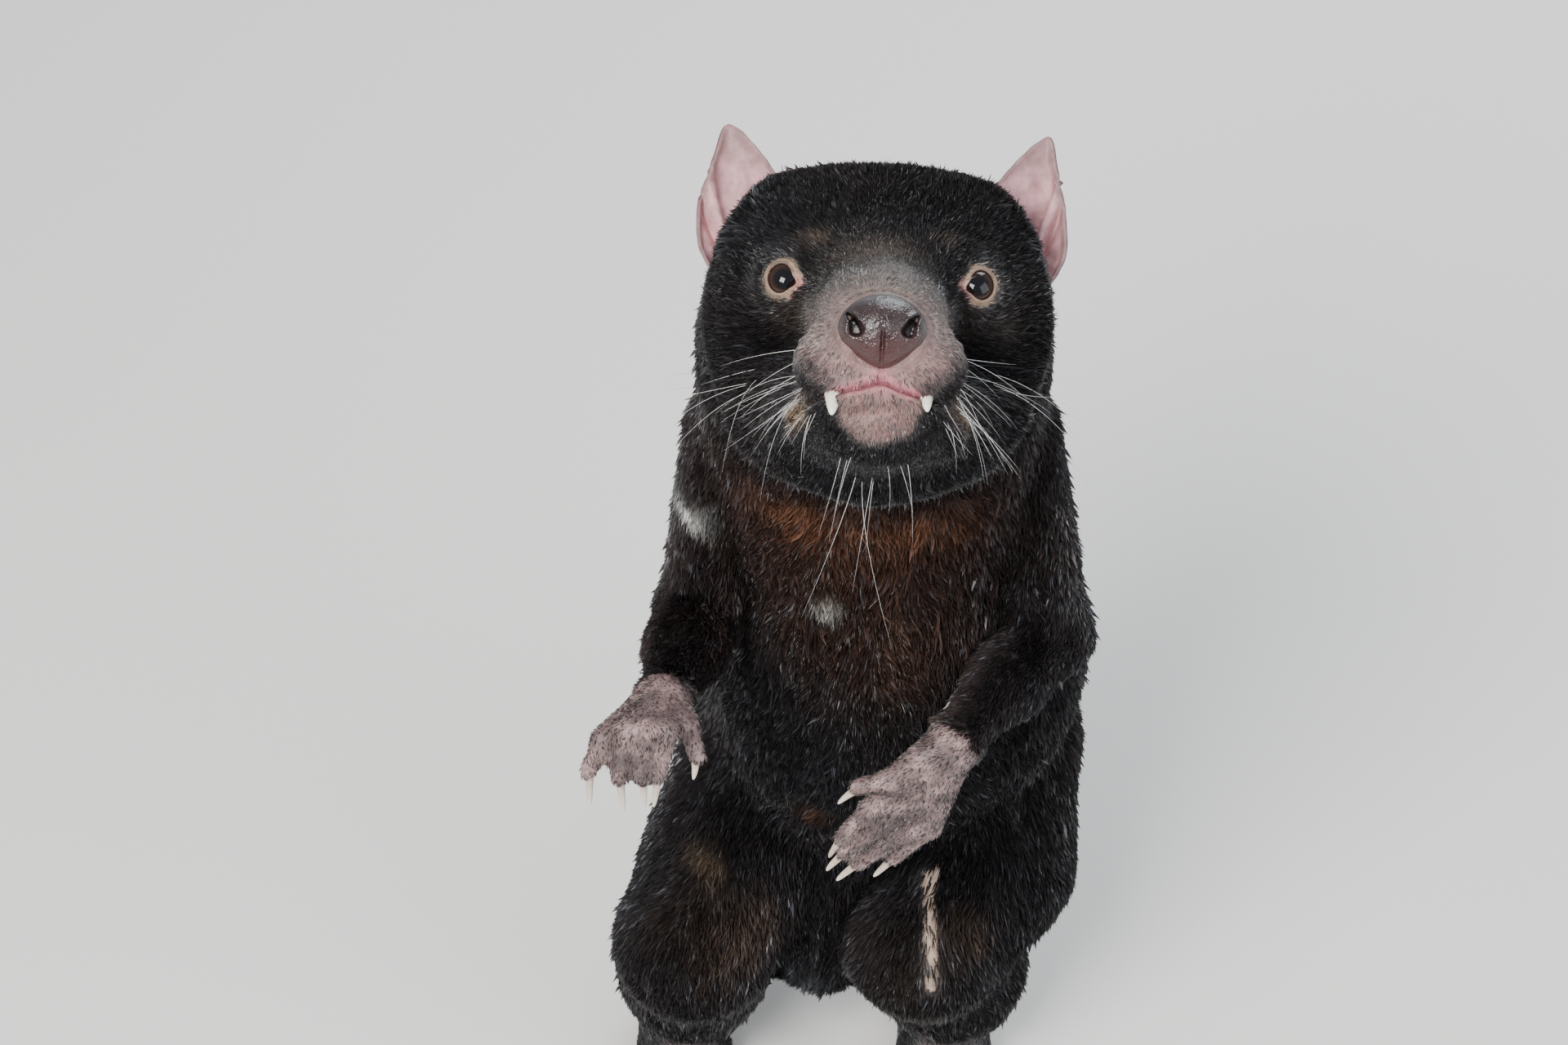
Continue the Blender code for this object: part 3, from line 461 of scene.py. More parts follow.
class Nodes:
    """Short calls for building a material out of shader nodes."""

    def __init__(self, name: str) -> None:
        """Start a material with a Principled shader."""
        self.material = bpy.data.materials.new(name)
        self.material.use_nodes = True
        self.tree = self.material.node_tree
        self.shader = self.tree.nodes["Principled BSDF"]

    def add(self, kind: str, **settings: object) -> bpy.types.Node:
        """Add a node and set its properties."""
        node = self.tree.nodes.new(kind)
        for key, value in settings.items():
            setattr(node, key, value)
        return node

    def link(self, start: bpy.types.NodeSocket, end: bpy.types.NodeSocket) -> None:
        """Join two sockets."""
        self.tree.links.new(start, end)

    def place(self) -> bpy.types.NodeSocket:
        """Object coordinates, in metres."""
        return self.add("ShaderNodeTexCoord").outputs["Object"]

    def attribute(self, name: str) -> bpy.types.Node:
        """An attribute that the piece's mesh carries."""
        return self.add("ShaderNodeAttribute", attribute_name=name)

    def noise(self, size_mm: float, detail: float = 3.0, roughness: float = 0.55) -> bpy.types.Node:
        """Noise in Object coordinates with features of about so many millimetres."""
        node = self.add("ShaderNodeTexNoise")
        node.inputs["Scale"].default_value = 1.0 / (size_mm * MM)
        node.inputs["Detail"].default_value = detail
        node.inputs["Roughness"].default_value = roughness
        self.link(self.place(), node.inputs["Vector"])
        return node

    def cells(self, size_mm: float, feature: str = "F1") -> bpy.types.Node:
        """Voronoi cells in Object coordinates of about so many millimetres."""
        node = self.add("ShaderNodeTexVoronoi", feature=feature)
        node.inputs["Scale"].default_value = 1.0 / (size_mm * MM)
        self.link(self.place(), node.inputs["Vector"])
        return node

    def spread(self, value: bpy.types.NodeSocket, source: tuple[float, float],
               target: tuple[float, float]) -> bpy.types.NodeSocket:
        """A value carried from one range to another."""
        node = self.add("ShaderNodeMapRange")
        for key, number in zip(("From Min", "From Max", "To Min", "To Max"), (*source, *target)):
            node.inputs[key].default_value = number
        self.link(value, node.inputs["Value"])
        return node.outputs["Result"]

    def times(self, colour: bpy.types.NodeSocket, factor: bpy.types.NodeSocket) -> bpy.types.NodeSocket:
        """A colour made lighter or darker by a factor."""
        node = self.add("ShaderNodeVectorMath", operation="SCALE")
        self.link(colour, node.inputs[0])
        self.link(factor, node.inputs["Scale"])
        return node.outputs["Vector"]

    def bump(self, heights: list[tuple[bpy.types.NodeSocket, float]]) -> None:
        """Raise the surface by several heights, each with its depth in millimetres."""
        normal = None
        for height, depth in heights:
            node = self.add("ShaderNodeBump")
            node.inputs["Distance"].default_value = depth * MM
            self.link(height, node.inputs["Height"])
            if normal is not None:
                self.link(normal, node.inputs["Normal"])
            normal = node.outputs["Normal"]
        self.link(normal, self.shader.inputs["Normal"])

    def constants(self, **values: float) -> None:
        """Set sockets of the shader that are the same all over."""
        for key, value in values.items():
            self.shader.inputs[key.replace("_", " ").title()].default_value = value


@dataclass(frozen=True)
class FurFinish:
    """Hair: the coat's colour with lighter and darker tufts and a soft gloss."""

    name: str
    roughness: float = 0.38
    clump_mm: float = 14.0

    def material(self) -> bpy.types.Material:
        """The finish as a material."""
        nodes = Nodes(self.name)
        clumps = nodes.spread(nodes.noise(self.clump_mm).outputs["Fac"], (0.3, 0.7), (0.80, 1.22))
        fine = nodes.spread(nodes.noise(1.6, 1.0).outputs["Fac"], (0.3, 0.7), (0.85, 1.15))
        colour = nodes.times(nodes.attribute("tint").outputs["Color"], clumps)
        nodes.link(nodes.times(colour, fine), nodes.shader.inputs["Base Color"])
        nodes.link(nodes.spread(nodes.noise(5.0, 1.0).outputs["Fac"], (0.3, 0.7),
                                (self.roughness - 0.06, self.roughness + 0.08)),
                   nodes.shader.inputs["Roughness"])
        return nodes.material


@dataclass(frozen=True)
class HideFinish:
    """The skin: bare and creased where the hair is thin, dull and dark under the coat."""

    name: str = "hide"

    def material(self) -> bpy.types.Material:
        """The finish as a material."""
        nodes = Nodes(self.name)
        pores = nodes.cells(0.9).outputs["Distance"]
        creases = nodes.noise(1.7, 4.0, 0.62).outputs["Fac"]
        nap = nodes.noise(0.8, 2.0).outputs["Fac"]
        tone = nodes.spread(creases, (0.3, 0.7), (0.82, 1.12))
        mottle = nodes.spread(nodes.noise(7.0).outputs["Fac"], (0.3, 0.7), (0.88, 1.12))
        colour = nodes.times(nodes.attribute("tint").outputs["Color"], tone)
        nodes.link(nodes.times(colour, mottle), nodes.shader.inputs["Base Color"])
        nodes.link(nodes.spread(creases, (0.3, 0.7), (0.42, 0.60)), nodes.shader.inputs["Roughness"])
        nodes.bump([(creases, 0.35), (pores, 0.16), (nap, 0.12)])
        nodes.shader.inputs["Subsurface Weight"].default_value = 0.12
        nodes.shader.inputs["Subsurface Radius"].default_value = (0.0022, 0.0011, 0.0008)
        return nodes.material


@dataclass(frozen=True)
class NoseFinish:
    """The wet, pebbled skin of the nose pad."""

    name: str = "nose_pad_wet"

    def material(self) -> bpy.types.Material:
        """The finish as a material."""
        nodes = Nodes(self.name)
        pebbles = nodes.cells(0.75).outputs["Distance"]
        soft = nodes.noise(3.0, 3.0).outputs["Fac"]
        tone = nodes.spread(soft, (0.3, 0.7), (0.75, 1.3))
        nodes.link(nodes.times(nodes.attribute("tint").outputs["Color"], tone),
                   nodes.shader.inputs["Base Color"])
        nodes.link(nodes.spread(soft, (0.3, 0.7), (0.24, 0.38)), nodes.shader.inputs["Roughness"])
        nodes.bump([(pebbles, 0.22), (soft, 0.25)])
        nodes.shader.inputs["Coat Weight"].default_value = 0.25
        nodes.shader.inputs["Coat Roughness"].default_value = 0.22
        return nodes.material


@dataclass(frozen=True)
class EyeFinish:
    """A wet dark eye: a black pupil in a brown iris."""

    name: str = "eye_wet"
    bands: tuple[tuple[float, tuple[float, float, float]], ...] = (
        (0.00, (0.003, 0.003, 0.005)),
        (0.36, (0.003, 0.003, 0.005)),
        (0.43, (0.014, 0.006, 0.004)),
        (0.58, (0.026, 0.010, 0.006)),
        (0.72, (0.012, 0.006, 0.005)),
        (0.86, (0.030, 0.018, 0.015)),
        (1.00, (0.30, 0.20, 0.17)),
    )

    def material(self) -> bpy.types.Material:
        """The finish as a material."""
        nodes = Nodes(self.name)
        ramp = nodes.add("ShaderNodeValToRGB")
        ramp.color_ramp.interpolation = "EASE"
        while len(ramp.color_ramp.elements) < len(self.bands):
            ramp.color_ramp.elements.new(0.5)
        for element, (place, colour) in zip(ramp.color_ramp.elements, self.bands):
            element.position = place
            element.color = (*colour, 1.0)
        nodes.link(nodes.attribute("from_look").outputs["Fac"], ramp.inputs["Fac"])
        streaks = nodes.spread(nodes.noise(0.9, 3.0).outputs["Fac"], (0.3, 0.7), (0.7, 1.35))
        nodes.link(nodes.times(ramp.outputs["Color"], streaks), nodes.shader.inputs["Base Color"])
        nodes.constants(roughness=0.05)
        nodes.shader.inputs["IOR"].default_value = 1.3
        nodes.shader.inputs["Coat Weight"].default_value = 0.3
        nodes.shader.inputs["Coat Roughness"].default_value = 0.015
        return nodes.material


@dataclass(frozen=True)
class HornFinish:
    """Claws and teeth: ivory with a darker root and fine lines."""

    name: str
    root: tuple[float, float, float]
    tip: tuple[float, float, float]
    roughness: float = 0.32

    def material(self) -> bpy.types.Material:
        """The finish as a material."""
        nodes = Nodes(self.name)
        mix = nodes.add("ShaderNodeMix", data_type="RGBA")
        mix.inputs["A"].default_value = (*self.root, 1.0)
        mix.inputs["B"].default_value = (*self.tip, 1.0)
        nodes.link(nodes.attribute("along").outputs["Fac"], mix.inputs["Factor"])
        grain = nodes.noise(1.1, 3.0).outputs["Fac"]
        tone = nodes.spread(grain, (0.3, 0.7), (0.82, 1.12))
        nodes.link(nodes.times(mix.outputs["Result"], tone), nodes.shader.inputs["Base Color"])
        nodes.link(nodes.spread(grain, (0.3, 0.7), (self.roughness - 0.05, self.roughness + 0.1)),
                   nodes.shader.inputs["Roughness"])
        nodes.bump([(grain, 0.05)])
        return nodes.material


@dataclass(frozen=True)
class EarFinish:
    """Thin pink skin with veins that shows light through it."""

    name: str = "ear_skin_thin"

    def material(self) -> bpy.types.Material:
        """The finish as a material."""
        nodes = Nodes(self.name)
        veins = nodes.spread(nodes.noise(6.0, 2.0).outputs["Fac"], (0.35, 0.65), (0.84, 1.10))
        soft = nodes.noise(2.4, 4.0).outputs["Fac"]
        tone = nodes.spread(soft, (0.3, 0.7), (0.86, 1.1))
        colour = nodes.times(nodes.attribute("tint").outputs["Color"], tone)
        nodes.link(nodes.times(colour, veins), nodes.shader.inputs["Base Color"])
        nodes.constants(roughness=0.5)
        nodes.bump([(soft, 0.3)])
        nodes.shader.inputs["Subsurface Weight"].default_value = 0.25
        nodes.shader.inputs["Subsurface Radius"].default_value = (0.003, 0.0013, 0.001)
        return nodes.material


@dataclass(frozen=True)
class FloorFinish:
    """A plain pale studio floor."""

    name: str = "floor_pale"
    colour: tuple[float, float, float] = (0.72, 0.71, 0.69)

    def material(self) -> bpy.types.Material:
        """The finish as a material."""
        nodes = Nodes(self.name)
        nodes.shader.inputs["Base Color"].default_value = (*self.colour, 1.0)
        nodes.constants(roughness=0.75)
        return nodes.material


def mesh_from_arrays(name: str, points: np.ndarray, faces: np.ndarray) -> bpy.types.Mesh:
    """A mesh from arrays of places, in millimetres, and of triangles."""
    mesh = bpy.data.meshes.new(name)
    mesh.vertices.add(len(points))
    mesh.vertices.foreach_set("co", (points * MM).astype(np.float32).ravel())
    mesh.loops.add(faces.size)
    mesh.loops.foreach_set("vertex_index", faces.astype(np.int32).ravel())
    mesh.polygons.add(len(faces))
    mesh.polygons.foreach_set("loop_start", np.arange(0, faces.size, faces.shape[1], dtype=np.int32))
    mesh.update(calc_edges=True)
    return mesh


def set_colour(mesh: bpy.types.Mesh, colours: np.ndarray) -> None:
    """Store the tint that a piece's material reads, one colour for each point."""
    rgba = np.ones((len(colours), 4), np.float32)
    rgba[:, :3] = colours
    layer = mesh.color_attributes.new("tint", "FLOAT_COLOR", "POINT")
    layer.data.foreach_set("color", rgba.ravel())


def set_values(mesh: bpy.types.Mesh, name: str, values: np.ndarray) -> None:
    """Store one number for each point of a mesh."""
    layer = mesh.attributes.new(name, "FLOAT", "POINT")
    layer.data.foreach_set("value", np.asarray(values, np.float32))


def piece_of(name: str, mesh: bpy.types.Mesh, material: bpy.types.Material,
             replaced: tuple[str, ...] = ()) -> bpy.types.Object:
    """A finished piece of the model, which rides on the body.

    Args:
        name: the piece's name.
        mesh: its mesh, with its place in it.
        material: its finish.
        replaced: the solids that it stands in for.

    Returns:
        The object.
    """
    obj = bpy.data.objects.new(name, mesh)
    bpy.context.scene.collection.objects.link(obj)
    mesh.materials.clear()
    mesh.materials.append(material)
    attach(obj, BODY)
    if replaced:
        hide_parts(*replaced)
    return obj


def applied(obj: bpy.types.Object) -> bpy.types.Mesh:
    """The mesh that an object's modifiers make of it; the object itself is removed."""
    graph = bpy.context.evaluated_depsgraph_get()
    graph.update()
    mesh = bpy.data.meshes.new_from_object(obj.evaluated_get(graph))
    bpy.data.objects.remove(obj, do_unlink=True)
    return mesh


def points_in(mesh: bpy.types.Mesh) -> np.ndarray:
    """The places of a mesh's points in millimetres."""
    flat = np.empty(len(mesh.vertices) * 3, np.float32)
    mesh.vertices.foreach_get("co", flat)
    return flat.reshape(-1, 3).astype(float) / MM


def put_points(mesh: bpy.types.Mesh, points: np.ndarray) -> None:
    """Move a mesh's points to places in millimetres."""
    mesh.vertices.foreach_set("co", (points * MM).astype(np.float32).ravel())
    mesh.update()


def normals_in(mesh: bpy.types.Mesh) -> np.ndarray:
    """The way out of the surface at each point of a mesh."""
    flat = np.empty(len(mesh.vertices) * 3, np.float32)
    mesh.vertex_normals.foreach_get("vector", flat)
    return flat.reshape(-1, 3).astype(float)


class Net:
    """Which points of a mesh are joined by edges, for evening values out over it."""

    def __init__(self, mesh: bpy.types.Mesh) -> None:
        """Read the edges of a mesh."""
        pairs = np.empty(len(mesh.edges) * 2, np.int32)
        mesh.edges.foreach_get("vertices", pairs)
        self.first, self.second = pairs.reshape(-1, 2).T
        self.count = len(mesh.vertices)
        self.joined = np.bincount(self.first, minlength=self.count)
        self.joined = np.maximum(self.joined + np.bincount(self.second, minlength=self.count), 1)

    def mean(self, values: np.ndarray) -> np.ndarray:
        """The mean of each point's neighbours."""
        flat = values.reshape(self.count, -1)
        made = np.empty_like(flat)
        for k in range(flat.shape[1]):
            total = np.bincount(self.first, flat[self.second, k], self.count)
            total += np.bincount(self.second, flat[self.first, k], self.count)
            made[:, k] = total / self.joined
        return made.reshape(values.shape)

    def even(self, values: np.ndarray, rounds: int, share: float | np.ndarray = 0.5) -> np.ndarray:
        """Values evened out over the mesh by several rounds."""
        for _ in range(rounds):
            values = values + (self.mean(values) - values) * share
        return values


@dataclass
class Skin:
    """One closed skin over the whole body, with the lie and depth of the coat at every point."""

    head: HeadFrame
    eyes: list[EyePlace]
    mouth: Mouth
    markings: Markings
    voxel: float = 1.5
    swell: float = 0.5
    triangles: int = 150000
    mesh: bpy.types.Mesh = field(init=False)
    parts: np.ndarray = field(init=False)
    flow: np.ndarray = field(init=False)
    depth: np.ndarray = field(init=False)
    hand_share: np.ndarray = field(init=False)

    FILLERS = ("eye_r", "eye_l", "nose")
    DEPTHS = {Part.HEAD: 3.4, Part.NECK: 5.0, Part.TORSO: 5.2, Part.UPPER_ARM_R: 4.4,
              Part.UPPER_ARM_L: 4.4, Part.FOREARM_R: 3.0, Part.FOREARM_L: 3.0, Part.HAND_R: 0.5,
              Part.HAND_L: 0.5, Part.THIGH_R: 5.0, Part.THIGH_L: 5.0, Part.SHANK_R: 4.2,
              Part.SHANK_L: 4.2, Part.FOOT_R: 0.5, Part.FOOT_L: 0.5, Part.TAIL_BASE: 5.0,
              Part.TAIL_END: 3.6}

    def build(self) -> bpy.types.Object:
        """Make the skin and its fields, and set it in place of the solids of flesh."""
        self.mesh = self.one_surface()
        self.name_parts()
        self.smooth_folds()
        self.lay_flow()
        self.sink_under_coat()
        self.refine_face()
        self.name_parts()
        self.lay_flow()
        self.sculpt()
        self.depth = self.coat_depth()
        set_colour(self.mesh, self.markings.skin_colour(points_in(self.mesh), self.hand_share))
        self.mesh.shade_smooth()
        flesh = tuple(part.value[0] for part in PARTS)
        return piece_of("skin", self.mesh, HideFinish().material(), flesh)

    def one_surface(self) -> bpy.types.Mesh:
        """The solids of flesh, a little swollen and run together into one closed surface."""
        whole = bmesh.new()
        spare = bpy.data.meshes.new("spare")
        for node in [part.value[0] for part in PARTS] + list(self.FILLERS):
            bm = bmesh.new()
            bm.from_mesh(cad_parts[node].data)
            bmesh.ops.remove_doubles(bm, verts=bm.verts, dist=2e-6)
            bm.normal_update()
            for vert in bm.verts:
                vert.co += vert.normal * self.swell * MM
            bm.to_mesh(spare)
            bm.free()
            whole.from_mesh(spare)
        mesh = bpy.data.meshes.new("skin")
        whole.to_mesh(mesh)
        whole.free()
        obj = bpy.data.objects.new("skin_blank", mesh)
        bpy.context.scene.collection.objects.link(obj)
        remesh = obj.modifiers.new("one", "REMESH")
        remesh.mode = "VOXEL"
        remesh.voxel_size = self.voxel * MM
        made = applied(obj)
        made = self.thin_out(made)
        made.name = "skin"
        return made

    def thin_out(self, mesh: bpy.types.Mesh) -> bpy.types.Mesh:
        """Fewer faces on the body, where the coat hides the skin, and all of them elsewhere."""
        obj = bpy.data.objects.new("skin_dense", mesh)
        bpy.context.scene.collection.objects.link(obj)
        points = points_in(mesh)
        fine = self.head.local(points)[:, 1] > -25.0
        for letter, _ in SIDES:
            for node, room in (("hand_", 4.0), ("hind_foot_", 2.0)):
                low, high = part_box(node + letter)
                inside = (points > np.array(low) / MM - room) & (points < np.array(high) / MM + room)
                fine |= inside.all(axis=1)
        group = obj.vertex_groups.new(name="body")
        group.add(np.flatnonzero(~fine).tolist(), 1.0, "REPLACE")
        fewer = obj.modifiers.new("fewer", "DECIMATE")
        fewer.ratio = min(1.0, self.triangles / (2.0 * len(mesh.polygons)))
        fewer.vertex_group = "body"
        return applied(obj)

    def name_parts(self) -> None:
        """Find the part of the body that each point of the skin belongs to."""
        corners = []
        labels = []
        for index, part in enumerate(PARTS):
            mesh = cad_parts[part.value[0]].data
            corners.append(points_in(mesh))
            labels.append(np.full(len(mesh.vertices), index))
        corners = np.vstack(corners)
        labels = np.concatenate(labels)
        _, first = np.unique(corners.round(2), axis=0, return_index=True)
        tree = KDTree(len(first))
        for index in first:
            tree.insert(corners[index], int(index))
        tree.balance()
        self.parts = np.array([labels[tree.find(point)[1]] for point in points_in(self.mesh)])
        net = Net(self.mesh)
        share = np.isin(self.parts, [PARTS.index(part) for part in HANDS_AND_FEET]).astype(float)
        points = points_in(self.mesh)
        on_foot = np.isin(self.parts, [PARTS.index(part) for part in (Part.FOOT_R, Part.FOOT_L)])
        toes = smooth_step((centre_of("hind_foot_r")[1] - 16.0 - points[:, 1]) / 8.0)
        low = smooth_step((9.0 - points[:, 2]) / 5.0)
        share = np.where(on_foot, np.maximum(toes, low), share)
        self.hand_share = smooth_step(net.even(share, 10) * 1.1)

    def smooth_folds(self) -> None:
        """Ease the steps of the surface and the creases where limbs meet the trunk."""
        net = Net(self.mesh)
        points = points_in(self.mesh)
        local = self.head.local(points)
        fine = np.clip(smooth_step((local[:, 1] + 10.0) / 20.0) + self.hand_share, 0.0, 1.0)[:, None]
        floor = points[:, 2].copy()
        points = net.even(points, 2, 0.4)
        points = net.even(points, 10, 0.5 * (1.0 - fine))
        low = floor < 1.0
        points[low, 2] = floor[low]
        put_points(self.mesh, points)

    def way_of(self, part: Part, points: np.ndarray) -> np.ndarray:
        """The way that the hair lies on one part, before it is laid along the skin."""
        name = part.value[0]
        if part is Part.HEAD:
            return unit(points - self.head.world((0.0, 58.0, -22.0)))
        if part is Part.NECK:
            return unit(np.array([0.0, 0.25, -1.0]) + 0.0 * points)
        if part is Part.TORSO:
            aside = np.sign(points[:, :1]) * np.array([0.18, 0.0, 0.0])
            return unit(np.array([0.0, 0.05, -1.0]) + aside)
        if part is Part.TAIL_END:
            way = np.array([0.0, 1.0, -0.45])
        elif part is Part.TAIL_BASE:
            way = centre_of("tail_end") - centre_of("tail_base")
        else:
            letter = name[-1]
            follows = {"upper_arm": "forearm", "forearm": "hand", "hand": "claw",
                       "thigh": "shank", "shank": "hind_foot", "hind_foot": "toe_claw"}[name[:-2]]
            if follows in ("claw", "toe_claw"):
                ends = [centre_of(f"{follows}_{letter}_{k}") for k in (2, 3, 4)]
                way = np.mean(ends, axis=0) - centre_of(name)
            else:
                way = centre_of(f"{follows}_{letter}") - centre_of(name)
        return unit(way + 0.0 * points)

    def lay_flow(self) -> None:
        """Lay the hair along the skin, and let its way change softly from part to part."""
        points = points_in(self.mesh)
        normals = normals_in(self.mesh)
        net = Net(self.mesh)
        flow = np.zeros_like(points)
        for index, part in enumerate(PARTS):
            here = self.parts == index
            if here.any():
                flow[here] = self.way_of(part, points[here])
        for _ in range(14):
            flow -= normals * (flow * normals).sum(axis=1)[:, None]
            flow = unit(net.even(unit(flow), 2))
        flow -= normals * (flow * normals).sum(axis=1)[:, None]
        self.flow = unit(flow)

    def coat_depth(self) -> np.ndarray:
        """How thick the coat is over each point of the skin, in millimetres."""
        points = points_in(self.mesh)
        local = self.head.local(points)
        depth = np.array([self.DEPTHS[part] for part in PARTS])[self.parts]
        tip = centre_of("tail_end")[1]
        thin = smooth_step((points[:, 1] - tip) / 55.0) * (self.parts == PARTS.index(Part.TAIL_END))
        depth = depth * (1.0 - 0.6 * thin)
        on_head = self.parts == PARTS.index(Part.HEAD)
        ahead = smooth_step((local[:, 1] + 12.0) / 40.0)
        depth = np.where(on_head, depth * (1.0 - 0.62 * ahead), depth)
        cheek = smooth_step((np.abs(local[:, 0]) - 34.0) / 16.0) * smooth_step((-local[:, 2]) / 20.0)
        depth = np.where(on_head, depth + 1.6 * cheek, depth)
        bare = np.maximum(self.markings.face_share(points), self.markings.lid_share(points))
        bare = np.maximum(bare, self.markings.strip_share(points) * 0.7)
        depth = depth * (1.0 - bare) + 0.35 * bare
        for eye in self.eyes:
            near = 1.0 - smooth_step((eye.oval(eye.local(points)) - 1.6) / 1.6)
            depth = depth * (1.0 - 0.6 * near)
        depth = Net(self.mesh).even(depth, 6)
        wrist = self.hand_share
        return depth * (1.0 - wrist) + 0.7 * wrist

    def sink_under_coat(self) -> None:
        """Move the skin inwards by the coat's depth; the soles stay on the floor."""
        net = Net(self.mesh)
        points = points_in(self.mesh)
        normals = unit(net.even(normals_in(self.mesh), 4))
        inset = net.even(self.coat_depth() + self.swell, 4)
        sole = smooth_step((points[:, 2] - 0.6) / 4.0)
        moved = points - normals * inset[:, None]
        moved[:, 2] = np.maximum(moved[:, 2], np.minimum(points[:, 2], 0.05))
        points = points + (moved - points) * np.maximum(sole, 0.12)[:, None]
        points[:, 2] = np.maximum(points[:, 2], 0.0)
        put_points(self.mesh, points)

    def refine_face(self) -> None:
        """Split the faces of the skin where lids, lips, the folds round the nose pad and the front of the
        muzzle need them.
        """
        for reach in (1.0, 0.6):
            points = points_in(self.mesh)
            local = self.head.local(points)
            x, y, z = local.T
            near = np.zeros(len(points), bool)
            for eye in self.eyes:
                about = eye.local(points)
                near |= (np.hypot(about[:, 0], about[:, 2]) < 9.0 + 4.0 * reach) & (about[:, 1] > 0.0)
            along = np.abs(self.mouth.share(local))
            lips = (np.abs(self.mouth.above(local)) < 6.5 * reach) & (along < 1.1) & (y > 0.0)
            pad = np.hypot(x / 15.0, (z + 27.0) / 12.5)
            folds = (pad < 1.0 + 0.9 * reach) & (pad > 0.75) & (y > 34.0)
            near |= lips | folds
            if reach == 1.0:
                near |= (y > 18.0) & (np.abs(x) < 34.0) & (z < 8.0)
            bm = bmesh.new()
            bm.from_mesh(self.mesh)
            bm.verts.ensure_lookup_table()
            edges = [edge for edge in bm.edges if near[edge.verts[0].index] and near[edge.verts[1].index]]
            bmesh.ops.subdivide_edges(bm, edges=edges, cuts=1, use_grid_fill=True, smooth=0.35)
            bmesh.ops.triangulate(bm, faces=[face for face in bm.faces if len(face.verts) > 4])
            bm.to_mesh(self.mesh)
            bm.free()
            self.mesh.update()

    def sculpt(self) -> None:
        """Shape the sockets, lids, lips and folds of the bare face."""
        points = points_in(self.mesh)
        net = Net(self.mesh)
        local = self.head.local(points)
        face = (smooth_step((local[:, 1] - 2.0) / 8.0) > 0.0)[:, None]
        points = net.even(points, 2, 0.4 * face)
        points = self.sculpt_muzzle(points)
        points = self.sculpt_mouth(points)
        for eye in self.eyes:
            points = self.sculpt_lids(points, eye)
        put_points(self.mesh, points)

    def sculpt_lids(self, points: np.ndarray, eye: EyePlace) -> np.ndarray:
        """Seat one eye: lids that lie on the ball, a fold above and below, and the socket behind."""
        local = eye.local(points)
        lateral = np.hypot(local[:, 0], local[:, 2])
        ring = eye.oval(local)
        front = local[:, 1] > 0.0
        cover = np.sqrt(np.maximum(eye.radius ** 2 - np.minimum(lateral, eye.radius - 0.6) ** 2, 1.0))
        lid = cover + 0.85 + 0.25 * np.exp(-((ring - 1.14) / 0.10) ** 2)
        open_part = cover - 1.6
        inside = 1.0 - smooth_step((ring - 0.94) / 0.08)
        wanted = lid + (open_part - lid) * inside
        share = 1.0 - smooth_step((ring - 1.12) / 0.62)
        height = local[:, 1] + (wanted - local[:, 1]) * share
        up = local[:, 2]
        upper = np.exp(-((ring - 1.52) / 0.08) ** 2) * smooth_step((up + 0.5) / 2.5)
        lower = np.exp(-((ring - 1.66) / 0.10) ** 2) * smooth_step((-up - 0.5) / 2.5)
        height = height - 0.65 * upper - 0.40 * lower
        height += 0.45 * np.exp(-((ring - 1.38) / 0.12) ** 2) * smooth_step((up + 1.0) / 3.0)
        wrinkles = np.sin(np.arctan2(local[:, 2], local[:, 0]) * 34.0)
        fine = 0.10 * wrinkles * np.exp(-((ring - 1.45) / 0.3) ** 2)
        height += fine * (ring > 1.1)
        change = np.where(front & (ring < 3.0), height - local[:, 1], 0.0)
        return points + change[:, None] * eye.axes[1]

    def sculpt_mouth(self, points: np.ndarray) -> np.ndarray:
        """Press in the line of the mouth between two soft lips."""
        local = self.head.local(points)
        share = self.mouth.share(local)
        above = self.mouth.above(local)
        along = np.abs(share)
        front = smooth_step((local[:, 1] - 4.0) / 8.0) * (1.0 - smooth_step((along - 0.86) / 0.14))
        groove = np.exp(-(above / 0.75) ** 2) * self.mouth.depth
        upper = 0.75 * np.exp(-((above - 2.3) / 1.4) ** 2)
        lower = 0.45 * np.exp(-((above + 2.1) / 1.3) ** 2)
        flare = (upper + lower - groove) * front
        outwards = np.zeros_like(local)
        outwards[:, 0] = local[:, 0]
        outwards[:, 1] = local[:, 1] - self.mouth.centre_y
        return points + self.head.turn(unit(outwards)) * flare[:, None]

    def sculpt_muzzle(self, points: np.ndarray) -> np.ndarray:
        """Folds round the nose pad, the groove below it, and the beds of the whiskers."""
        local = self.head.local(points)
        x, y, z = local.T
        normals = normals_in(self.mesh)
        change = np.zeros(len(points))
        pad = (np.hypot(x / 16.2, (z + 27.5) / 13.6) - 1.0) * 14.0
        upper = smooth_step((z + 30.0) / 8.0) * smooth_step((y - 30.0) / 8.0)
        for place, depth, width in ((2.2, 0.55, 0.8), (4.9, 0.45, 0.9), (8.0, 0.28, 1.1)):
            wavy = place + 0.5 * ripple(local, 11.0, int(place * 10))
            change -= depth * np.exp(-((pad - wavy) / width) ** 2) * upper
            change += 0.6 * depth * np.exp(-((pad - wavy - 1.5) / width) ** 2) * upper
        between = np.exp(-(x / 0.9) ** 2) * smooth_step((z + 48.0) / 3.0) * smooth_step((-z - 35.0) / 3.0)
        change -= 0.9 * between * (y > 40.0)
        aside = np.abs(x)
        for row in range(4):
            for column in range(5):
                spot = np.array([15.5 + 2.9 * column, -31.0 - 4.4 * row + 0.7 * column])
                near = ((aside - spot[0]) ** 2 + (z - spot[1]) ** 2) / 1.3 ** 2
                change += 0.30 * np.exp(-near) * (y > 14.0)
        change += 0.10 * ripple(local, 3.2, 21) * self.markings.face_share(points)
        sink = 1.5 * (1.0 - smooth_step((pad + 1.6) / 1.4)) * (y > 40.0)
